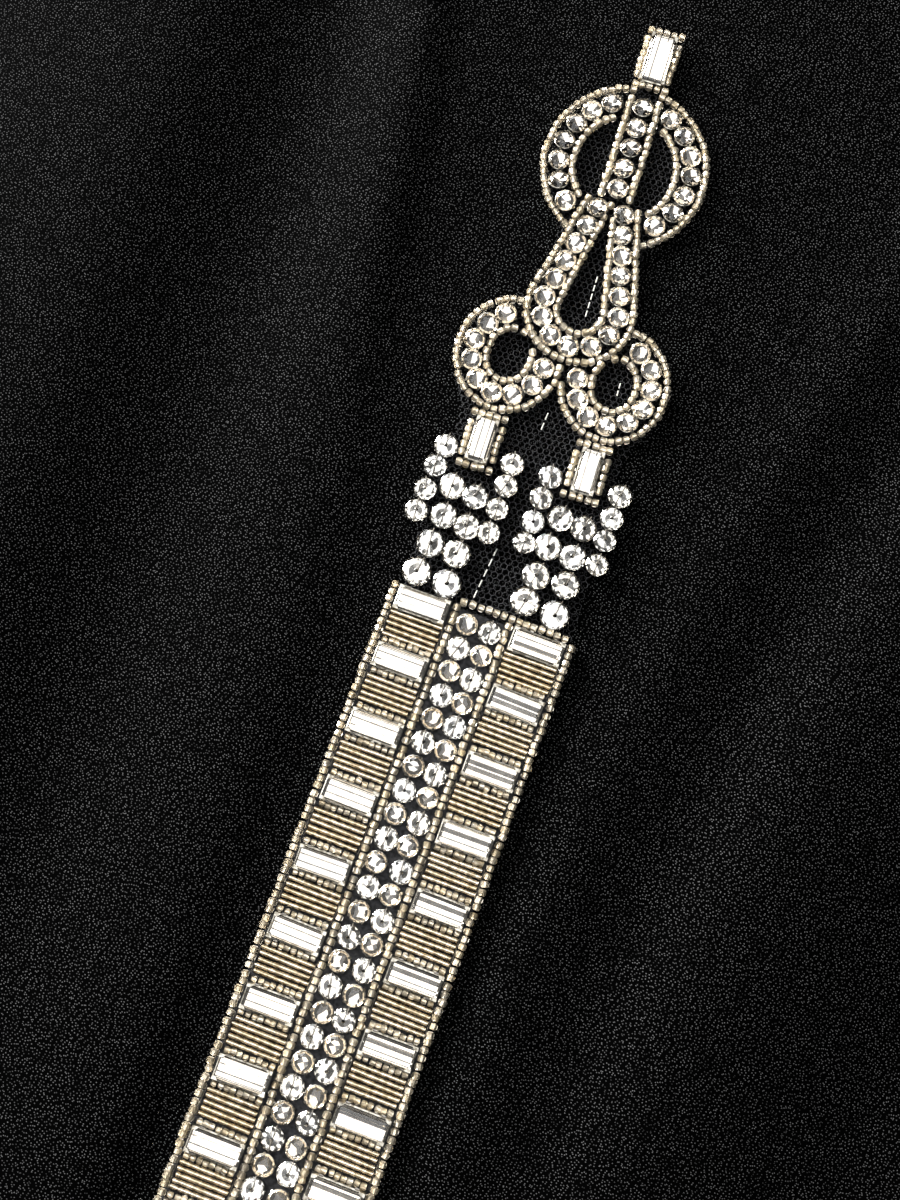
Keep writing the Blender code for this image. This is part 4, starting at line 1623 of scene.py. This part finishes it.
@dataclass
class CentreColumn:
    """One of the two strings down the band's middle: cut stones and pierced discs by turns."""

    side_name: str
    side: int
    offset: float = 1.98 * MM
    first: float = -2.9 * MM
    pitch: float = 4.08 * MM
    wobble: float = 0.10 * MM
    stone_tilt: float = 0.14

    def build(self) -> bpy.types.Object:
        """Sew the string.

        Returns:
            The string's piece.
        """
        layer = BeadLayer(f"band_centre_{self.side_name}_stones", BAND_PLOT)
        count = int((BAND_LENGTH + self.first) / self.pitch)
        for i in range(count):
            along = self.first - i * self.pitch
            across = self.side * self.offset + layer.pile.random.normal(0, self.wobble)
            turn = layer.pile.random.uniform(0, math.pi)
            if (i + (self.side > 0)) % 2 == 0:
                layer.sew(CHATON, (across, along), turn, SIZES.stone_radius, SIZES.stone_rise,
                          self.stone_tilt, check=False)
            else:
                sew_disc(layer, (across, along), SIZES.small_disc)
        return layer.pile.piece(BEAD_FINISHES, "foiled_crystal", f"band_centre_{self.side_name}")


# Radius as a share of the disc's, and height in millimetres, of the thread out of a disc's eye
EYE_THREAD = ((0.02, 1.05), (0.12, 1.38), (0.6, 1.32), (0.96, 0.98))
EYE_THREAD_FOOT = 0.7
EYE_THREAD_RADIUS = 0.10 * MM
EYE_THREAD_REACH = 1.06
EYE_THREAD_SHORT_REACH = 0.9
EYE_THREAD_TURN = 0.12
DISC_TILT = 0.13
DISC_CLEARANCE = 0.1 * MM


def sew_disc(layer: BeadLayer, point: tuple[float, float], radius: float,
             rise: float = SIZES.disc_rise) -> None:
    """Sew one pierced disc, with its thread over it along the band.

    Args:
        layer: The layer that it belongs to.
        point: Its across and along.
        radius: Its radius.
        rise: Height of its foot over the net.
    """
    scale = radius / SIZES.small_disc
    draw = layer.pile.random
    turn = draw.uniform(0, math.pi)
    layer.sew(DISC, point, turn, radius, rise + DISC_CLEARANCE, DISC_TILT, (scale, scale, 1), False)
    heading = math.pi / 2 + draw.normal(0, EYE_THREAD_TURN)
    back = EYE_THREAD_SHORT_REACH if draw.random() < 0.5 else 0.0
    for way, far in ((1, EYE_THREAD_REACH), (-1, back)):
        if far:
            cos, sin = way * math.cos(heading), way * math.sin(heading)
            route = [(point[0] + r * radius * cos, point[1] + r * radius * sin, rise + z * MM)
                     for r, z in (*EYE_THREAD, (far, EYE_THREAD_FOOT))]
            lay_thread(layer, route, EYE_THREAD_RADIUS)


@dataclass
class Strand:
    """A curved strand of the motif: a row of cut stones between two rows of seeds."""

    name: str
    node: str
    rails: tuple[Array, Array]
    middle: Array
    stones: int
    mirror: int = 1
    stone_tilt: float = 0.17

    def build(self) -> bpy.types.Object:
        """Sew the strand.

        Returns:
            The strand's piece.
        """
        flip = np.array((self.mirror, 1))
        layer = BeadLayer(self.name, MOTIF_PLOT)
        for place in resample(self.middle, 2 * self.stones)[1::2]:
            turn = layer.pile.random.uniform(0, math.pi)
            layer.sew(CHATON, place * flip, turn, SIZES.stone_radius, SIZES.stone_rise, self.stone_tilt)
        for path in self.rails:
            layer.seed_row(SEEDS, path * flip)
        return layer.pile.piece(BEAD_FINISHES, "foiled_crystal", self.node)


@dataclass
class Motif:
    """The motif past the band's end: two small rings, a teardrop, and a large ring with a bar in it."""

    rail: float = 2.52 * MM
    small_centre: tuple[float, float] = (-SIZES.side_axis, 43.2 * MM)
    small_radii: tuple[float, float] = (6.3 * MM, 7.3 * MM)
    small_stones: int = 9
    drop_along: float = 54 * MM
    drop_radius: float = 6.5 * MM
    drop_neck: tuple[float, float] = (1.85 * MM, 74.4 * MM)
    drop_gap: float = 0.2 * MM
    drop_stones: int = 17
    small_outer_arc: tuple[float, float] = (92, 372)
    small_inner_arc: tuple[float, float] = (88, 440)
    small_stone_arc: tuple[float, float] = (98, 368)
    ring_outer_arc: tuple[float, float] = (98, 248)
    ring_inner_arc: tuple[float, float] = (108, 238)
    ring_stone_arc: tuple[float, float] = (108, 235)
    ring_along: float = 81.1 * MM
    ring_radii: tuple[float, float] = (11.4 * MM, 12.2 * MM)
    ring_stones: int = 7
    bar_start: float = 75.0 * MM
    bar_stones: int = 5
    bar_pitch: float = 3.9 * MM

    @property
    def bar_end(self) -> float:
        """Where the bar ends along the motif."""
        return self.bar_start + self.bar_stones * self.bar_pitch

    def teardrop_edge(self, radius: float, neck_across: float) -> Array:
        """One rail of the teardrop: down from its neck, round its foot and back up.

        Args:
            radius: The foot's radius.
            neck_across: Half the rail's width at the neck.

        Returns:
            The rail's points.
        """
        neck = (-neck_across, self.drop_neck[1])
        reach = math.dist(neck, (0, self.drop_along))
        towards = math.atan2(neck[1] - self.drop_along, neck[0])
        touch = math.degrees(towards + math.acos(radius / reach))
        arc = ellipse_arc((0, self.drop_along), (radius, radius), touch, 540 - touch)
        return np.vstack(([neck], arc, [(neck_across, neck[1])]))

    def strands(self) -> list[Strand]:
        """Lay out the motif's strands.

        Returns:
            The strands, with those that lie over others first.
        """
        rail, half = self.rail, self.drop_neck[0]
        drop_rails = (self.teardrop_edge(self.drop_radius - rail, self.drop_gap),
                      self.teardrop_edge(self.drop_radius + rail, half + rail))
        drop_middle = self.teardrop_edge(self.drop_radius, half)
        bar_left, bar_right, bar_middle = (straight(across, self.bar_start, across, self.bar_end)
                                           for across in (-rail, rail, 0))
        found = [Strand("teardrop_stones", "teardrop", drop_rails, drop_middle, self.drop_stones),
                 Strand("centre_bar_stones", "centre_bar", (bar_left, bar_right), bar_middle,
                        self.bar_stones)]
        ring = ((0, self.ring_along), self.ring_radii)
        ring_rails = (ellipse_arc(*ring, *self.ring_inner_arc, -rail),
                      ellipse_arc(*ring, *self.ring_outer_arc, rail))
        small = (self.small_centre, self.small_radii)
        small_rails = (ellipse_arc(*small, *self.small_inner_arc, -rail),
                       ellipse_arc(*small, *self.small_outer_arc, rail))
        small_rails[1][:, 0] = np.minimum(small_rails[1][:, 0], -0.5 * SIZES.seed_radius)
        for node, rails, middle, stones in (
                ("ring_arc", ring_rails, ellipse_arc(*ring, *self.ring_stone_arc), self.ring_stones),
                ("small_ring", small_rails, ellipse_arc(*small, *self.small_stone_arc), self.small_stones)):
            for side_name, mirror in (("left", 1), ("right", -1)):
                name = f"{node}_{side_name}"
                found.append(Strand(f"{name}_stones", name, rails, middle, stones, mirror))
        return found

    def build(self) -> list[bpy.types.Object]:
        """Sew the motif's strands and return them."""
        return [strand.build() for strand in self.strands()]


@dataclass
class FramedBaguette:
    """A baguette along the motif's axis in a frame of seeds: the tip's, or one over a tassel.

    Attributes:
        name: The piece's name.
        node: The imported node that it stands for.
        across: Its middle, across the motif.
        middle: Its middle, along the motif.
        side_seeds: Where the seeds down its sides may start and end.
        half: Half the frame's width.
        setting: The setting's length and width.
    """

    name: str
    node: str
    across: float
    middle: float
    side_seeds: tuple[float, float]
    half: float
    setting: tuple[float, float]
    rise: float = 0.25 * MM
    tilt: float = 0.03
    rail_room: float = 0.1 * MM

    def build(self) -> bpy.types.Object:
        """Sew the stone and its frame.

        Returns:
            Both, as one piece.
        """
        layer = BeadLayer(self.name, MOTIF_PLOT)
        form = BeadKit.baguette(*self.setting, BRIGHT_KEEL)
        layer.sew(form, (self.across, self.middle), math.pi / 2, self.setting[1] / 2, self.rise, self.tilt,
                  check=False)
        rail = self.half - SIZES.seed_radius + self.rail_room
        reach = self.setting[0] / 2 + SIZES.seed_radius
        left, right = self.across - self.half, self.across + self.half
        rows = [straight(left, along, right, along) for along in (self.middle - reach, self.middle + reach)]
        low = max(self.side_seeds[0], self.middle - reach)
        high = min(self.side_seeds[1], self.middle + reach)
        rows += [straight(across, low, across, high) for across in (self.across - rail, self.across + rail)]
        for row in rows:
            layer.seed_row(SEEDS, row)
        return layer.pile.piece(BEAD_FINISHES, "silver_lined_beads", self.node)


class DiscRow(NamedTuple):
    """One string of a tassel, about the tassel's middle, in millimetres."""

    across: float
    last_across: float
    first_along: float
    pitch: float
    radius: float
    last_radius: float


TASSEL_STRINGS = (
    DiscRow(-5.9, -6.3, 24.6, 4.0, 2.05, 1.95),
    DiscRow(-2.15, -2.5, 18.3, 5.05, 2.25, 2.5),
    DiscRow(2.15, 2.45, 18.0, 5.05, 2.25, 2.5),
    DiscRow(5.9, 6.1, 25.4, 4.0, 2.05, 1.95),
)


@dataclass
class Tassel:
    """Four strings of pierced discs that hang from a framed baguette towards the band."""

    side_name: str
    side: int
    discs: int = 4
    wobble: float = 0.15 * MM
    overlap_rise: float = 0.35 * MM
    outer_string: float = 4

    def build(self) -> bpy.types.Object:
        """Sew the tassel.

        Returns:
            The tassel's piece.
        """
        layer = BeadLayer(f"tassel_{self.side_name}_discs", BAND_PLOT)
        middle = self.side * SIZES.side_axis + MOTIF_PLOT.pivot[0]
        drop = self.side * SIZES.side_axis * math.sin(MOTIF_PLOT.lean)
        for row in TASSEL_STRINGS:
            for i in range(self.discs):
                t = i / (self.discs - 1)
                across = middle + MM * (row.across + t * (row.last_across - row.across))
                along = MM * (row.first_along - i * row.pitch) + drop
                radius = MM * (row.radius + t * (row.last_radius - row.radius))
                wobble = layer.pile.random.normal(0, self.wobble, 2)
                over = (i % 2) == (abs(row.across) > self.outer_string)
                rise = SIZES.disc_rise + (self.overlap_rise if over else 0.0)
                sew_disc(layer, (across + wobble[0], along + wobble[1]), radius, rise)
        nodes = [f"tassel_{self.side_name}_{k + 1}" for k in range(len(TASSEL_STRINGS))]
        return layer.pile.piece(BEAD_FINISHES, "clear_discs", *nodes)


class NetRow(NamedTuple):
    """The net's edges at one place along the motif, in millimetres."""

    along: float
    half_width: float


NET_ROWS = (
    NetRow(-1.0, 15.0), NetRow(9.0, 15.0), NetRow(18.0, 15.5), NetRow(30.0, 14.0),
    NetRow(37.0, 16.6), NetRow(43.0, 17.8), NetRow(50.0, 15.5), NetRow(55.0, 9.0),
    NetRow(64.0, 7.0), NetRow(70.0, 9.0), NetRow(76.0, 13.0), NetRow(82.0, 13.8),
    NetRow(89.0, 11.5), NetRow(94.5, 5.0), NetRow(97.0, 2.8), NetRow(107.6, 2.8),
)


@dataclass
class NetBacking:
    """The tulle that the applique is sewn on: open hexagons under the motif, close under the band."""

    cell: float = 1.08 * MM
    cells_across: range = range(-20, 21)
    cells_along: range = range(-4, 125)
    yarn_radius: float = 0.065 * MM
    yarn_height: float = 1.4
    strip_half_width: float = 15.0 * MM
    strip_wall: float = 0.20 * MM
    strip_rows: int = 60
    strip_columns: int = 7
    strip_neck_inset: float = 1 * MM
    strip_end_inset: float = 0.6 * MM

    def build(self) -> bpy.types.Object:
        """Make the net.

        Returns:
            The net's piece.
        """
        pile = Pile("tulle_net")
        for form in (self.hexagons(), self.strip()):
            pile.set_down(form, (0, 0, 0))
        return pile.piece([TULLE], "black_tulle", "net_backing")

    def inside(self, points: Array) -> Array:
        """Test whether points lie on the net.

        Args:
            points: Rows of across and along in the motif's plot.

        Returns:
            Whether each one does.
        """
        alongs = np.array([row.along for row in NET_ROWS]) * MM
        halves = np.array([row.half_width for row in NET_ROWS]) * MM
        width = np.interp(points[:, 1], alongs, halves)
        return (np.abs(points[:, 0]) < width) & (points[:, 1] > alongs[0]) & (points[:, 1] < alongs[-1])

    def yarn_ends(self) -> tuple[Array, Array]:
        """Lay out the open net's yarns, three sides for each hexagon.

        Returns:
            Where each side starts and where it ends.
        """
        side = self.cell / math.sqrt(3)
        corners = [side * np.array((math.cos(a), math.sin(a))) for a in np.radians((30, 90, 150, 210))]
        starts, ends = [], []
        for i in self.cells_across:
            for j in self.cells_along:
                centre = np.array(((i + 0.5 * (j % 2)) * self.cell, j * 1.5 * side))
                starts += [centre + corner for corner in corners[:-1]]
                ends += [centre + corner for corner in corners[1:]]
        return np.array(starts), np.array(ends)

    def hexagons(self) -> Form:
        """Make the open net's yarns: a short three-sided bar for each side of each hexagon.

        Returns:
            The yarns, as one form.
        """
        starts, ends = self.yarn_ends()
        kept = self.inside(starts) & self.inside(ends)
        starts, ends = MOTIF_PLOT.to_gown(starts[kept]), MOTIF_PLOT.to_gown(ends[kept])
        radius = self.yarn_radius
        form = Form()
        for (x0, y0), z0, (x1, y1), z1 in zip(starts, net_height(starts), ends, net_height(ends)):
            length = math.hypot(x1 - x0, y1 - y0)
            nx, ny = -(y1 - y0) / length * radius, (x1 - x0) / length * radius
            first, last = (form.ring([(x + nx, y + ny, z), (x - nx, y - ny, z),
                                      (x, y, z + self.yarn_height * radius)])
                           for x, y, z in ((x0, y0, z0), (x1, y1, z1)))
            form.bridge(first, last, 0, True)
            form.face(first[::-1], 0)
            form.face(last, 0)
        return form

    def strip(self) -> Form:
        """Make the close net under the band, a thin strip that the beads hide.

        Returns:
            The strip.
        """
        form = Form()
        acrosses = np.linspace(-self.strip_half_width, self.strip_half_width, self.strip_columns)
        alongs = np.linspace(-BAND_LENGTH + self.strip_neck_inset, -self.strip_end_inset, self.strip_rows)
        rings = []
        for along in alongs:
            plan = BAND_PLOT.to_gown(np.column_stack((acrosses, np.full_like(acrosses, along))))
            over = [(x, y, z) for (x, y), z in zip(plan, net_height(plan))]
            under = [(x, y, z - self.strip_wall) for x, y, z in over]
            rings.append(form.ring(over + under[::-1]))
        for here, there in zip(rings, rings[1:]):
            form.bridge(here, there, 0)
        form.face(rings[0][::-1], 0)
        form.face(rings[-1], 0)
        return form


# ---------------------------------------------------------------- sewing


@dataclass
class Stitching:
    """The sewing that shows on the cloth: top stitching along both necklines and the front's armholes."""

    length: float = 2.3 * MM
    pitch: float = 3.0 * MM
    radius: float = 0.17 * MM
    inset: float = 4.5 * MM
    sides: int = 5
    flat_share: float = 0.7
    sunk: float = -0.10 * MM
    raised: float = 0.12 * MM
    neck_margin: float = 0.02
    neck_points: int = 90
    armhole: tuple[float, float] = (0.536, 0.708)
    armhole_points: int = 60

    def stitches(self, pile: Pile, panel: ClothPanel, fractions: Array, rises: Array) -> None:
        """Lay even stitches along a line of a panel, each sunk at its ends.

        Args:
            pile: The pile that they belong to.
            panel: The panel that is stitched.
            fractions: The line's places across the panel, from -1 to 1.
            rises: Its places up the panel, from 0 to 1.
        """
        line = np.column_stack(CUT.panel_point(fractions, rises, panel.neck_drop))
        points = resample(line, int(path_length(line) / self.pitch))
        share = self.length / self.pitch / 2
        rise = np.array([self.sunk, self.raised, self.raised, self.sunk])
        for here, there in zip(points, points[1:]):
            middle, half = (here + there) / 2, (there - here) * share
            flat = self.flat_share * half
            plan = np.array([middle - half, middle - flat, middle + flat, middle + half])
            path = np.column_stack((plan, panel.stitch_height(plan) + rise))
            pile.tube(path, self.radius, 0, self.sides)

    def build(self, front: ClothPanel, back: ClothPanel) -> bpy.types.Object:
        """Sew the edges.

        Args:
            front: The front panel.
            back: The back panel.

        Returns:
            The stitching.
        """
        pile = Pile("edge_stitching")
        neck = CUT.neck_half_width / CUT.shoulder_tip_x
        across = np.linspace(-neck + self.neck_margin, neck - self.neck_margin, self.neck_points)
        for panel in (front, back):
            self.stitches(pile, panel, across, np.full_like(across, 1 - self.inset / panel.neck_length))
        low, high = (y - CUT.hem_y for y in self.armhole)
        side_length = CUT.neck_point_y - CUT.shoulder_drop - CUT.hem_y
        rise = np.linspace(low, high, self.armhole_points) / side_length
        inward = 1 - self.inset / CUT.shoulder_tip_x
        for side in (-1, 1):
            self.stitches(pile, front, np.full_like(rise, side * inward), rise)
        return pile.piece([BLACK_THREAD], "black_crepe")


class TackRun(NamedTuple):
    """One line of tacking in the band's plot, in millimetres, and how many stitches it has."""

    across: float
    along: float
    last_across: float
    last_along: float
    stitches: int


TACK_RUNS = (
    TackRun(-2.0, 61.0, -1.5, 53.1, 5),
    TackRun(-1.7, 35.5, -1.8, 31.8, 2),
    TackRun(-1.7, 10.8, -2.5, 1.2, 5),
    TackRun(7.9, 44.6, 8.1, 41.9, 2),
)


@dataclass
class TackingStitches:
    """White tacking thread left in the net down the motif's middle."""

    radius: float = 0.11 * MM
    share: float = 0.66
    end_rise: float = 0.10 * MM
    middle_rise: float = 0.20 * MM

    def build(self) -> bpy.types.Object:
        """Lay the dashes.

        Returns:
            The dashes, as one piece.
        """
        pile = Pile("tacking_thread")
        rise = np.array((self.end_rise, self.middle_rise, self.end_rise))
        for run in TACK_RUNS:
            line = straight(run.across, run.along, run.last_across, run.last_along)
            points = resample(line * MM, run.stitches)
            for here, there in zip(points, points[1:]):
                end = here + (there - here) * self.share
                plan = BAND_PLOT.to_gown(np.array([here, (here + end) / 2, end]))
                pile.tube(np.column_stack((plan, net_height(plan) + rise)), self.radius, 0)
        return pile.piece([TACKING_THREAD], "black_tulle")


# ---------------------------------------------------------------- studio


@dataclass(frozen=True)
class Softbox:
    """A studio light with a square face, aimed at a point of the gown."""

    name: str
    place: Point
    aim: Point
    size: tuple[float, float]
    power: float

    def build(self) -> None:
        """Hang the light."""
        lamp = bpy.data.lights.new(self.name, "AREA")
        lamp.shape = "RECTANGLE"
        lamp.size, lamp.size_y = self.size
        lamp.energy = self.power
        thing = bpy.data.objects.new(self.name, lamp)
        bpy.context.scene.collection.objects.link(thing)
        thing.location = self.place
        thing.rotation_euler = (Vector(self.aim) - Vector(self.place)).to_track_quat("-Z", "Y").to_euler()
        thing.visible_camera = False


@dataclass
class Studio:
    """The pale floor, the soft lights and the camera at the photo's angle."""

    floor_half: float = 4.0
    room_tint: str = "#dfe2e6"
    room_light: float = 0.16
    picture_height: int = 1200
    focal_pixels: float = 1563.0
    sensor_mm: float = 36.0
    clip_start: float = 0.01
    camera_place: Point = (-9.6 * MM, BAND_END_Y + 41.5 * MM, 260.3 * MM)
    camera_forward: Point = (0.0608, -0.1626, -0.9848)
    camera_up: Point = (0.3449, -0.9224, 0.1736)
    lights: tuple[Softbox, ...] = (
        Softbox("top_softbox", (0.08, 0.42, 1.15), (0.08, 0.42, 0.0), (0.9, 1.55), 10.0),
        Softbox("raking_softbox", (5.20, -1.90, 2.00), (0.0, 0.42, 0.0), (3.4, 3.4), 1850),
        Softbox("skirt_softbox", (0.9, -1.0, 0.9), (0.0, -0.3, 0.0), (0.9, 0.7), 14),
    )

    def build(self) -> None:
        """Set up the studio."""
        mesh = bpy.data.meshes.new("studio_floor")
        corners = BeadKit.oblong(self.floor_half, self.floor_half, 0.0)
        mesh.from_pydata(corners, [], [(0, 1, 2, 3)])
        mesh.materials.append(PAPER.material())
        floor = bpy.data.objects.new("studio_floor", mesh)
        bpy.context.scene.collection.objects.link(floor)
        for light in self.lights:
            light.build()
        world = bpy.data.worlds.new("studio_room")
        bpy.context.scene.world = world
        world.use_nodes = True
        room = world.node_tree.nodes["Background"].inputs
        room["Color"].default_value = linear(self.room_tint)
        room["Strength"].default_value = self.room_light
        bpy.context.scene.view_settings.view_transform = "Standard"
        self.camera()

    def camera(self) -> None:
        """Put the camera where the photo was taken from."""
        lens = bpy.data.cameras.new("photo_camera")
        lens.sensor_width = self.sensor_mm
        lens.lens = self.sensor_mm * self.focal_pixels / self.picture_height
        lens.clip_start = self.clip_start
        thing = bpy.data.objects.new("photo_camera", lens)
        bpy.context.scene.collection.objects.link(thing)
        forward, up = Vector(self.camera_forward).normalized(), Vector(self.camera_up)
        right = forward.cross(up).normalized()
        up = right.cross(forward)
        turn = Matrix((right, up, -forward)).transposed().to_4x4()
        thing.matrix_world = Matrix.Translation(self.camera_place) @ turn
        bpy.context.scene.camera = thing


def main() -> None:
    """Build the gown piece by piece, then the studio round it."""
    logging.basicConfig(level=logging.INFO, format="%(message)s")
    front, back = ClothPanel(Panel.FRONT), ClothPanel(Panel.BACK)
    front_piece, back_piece = front.build(), back.build()
    on_front = [NetBacking().build()]
    on_front += Motif().build()
    for side_name, side in (("left", -1), ("right", 1)):
        on_front += BandColumn(side_name, side).build()
        on_front.append(CentreColumn(side_name, side).build())
        node = f"drop_setting_{side_name}"
        setting = FramedBaguette(f"{node}_stone", node, across=side * SIZES.side_axis, middle=27.5 * MM,
                                 side_seeds=(22.8 * MM, 32.2 * MM), half=3.3 * MM,
                                 setting=(7.7 * MM, 3.8 * MM))
        on_front.append(setting.build())
        on_front.append(Tassel(side_name, side).build())
    tip = FramedBaguette("tip_setting_stone", "tip_setting", across=0.0, middle=102.0 * MM,
                         side_seeds=(94.8 * MM, 107.8 * MM), half=3.4 * MM, setting=(9.2 * MM, 4.6 * MM))
    on_front.append(tip.build())
    on_front.append(Stitching().build(front, back))
    on_front.append(TackingStitches().build())
    Studio().build()


if __name__ == "__main__":
    main()
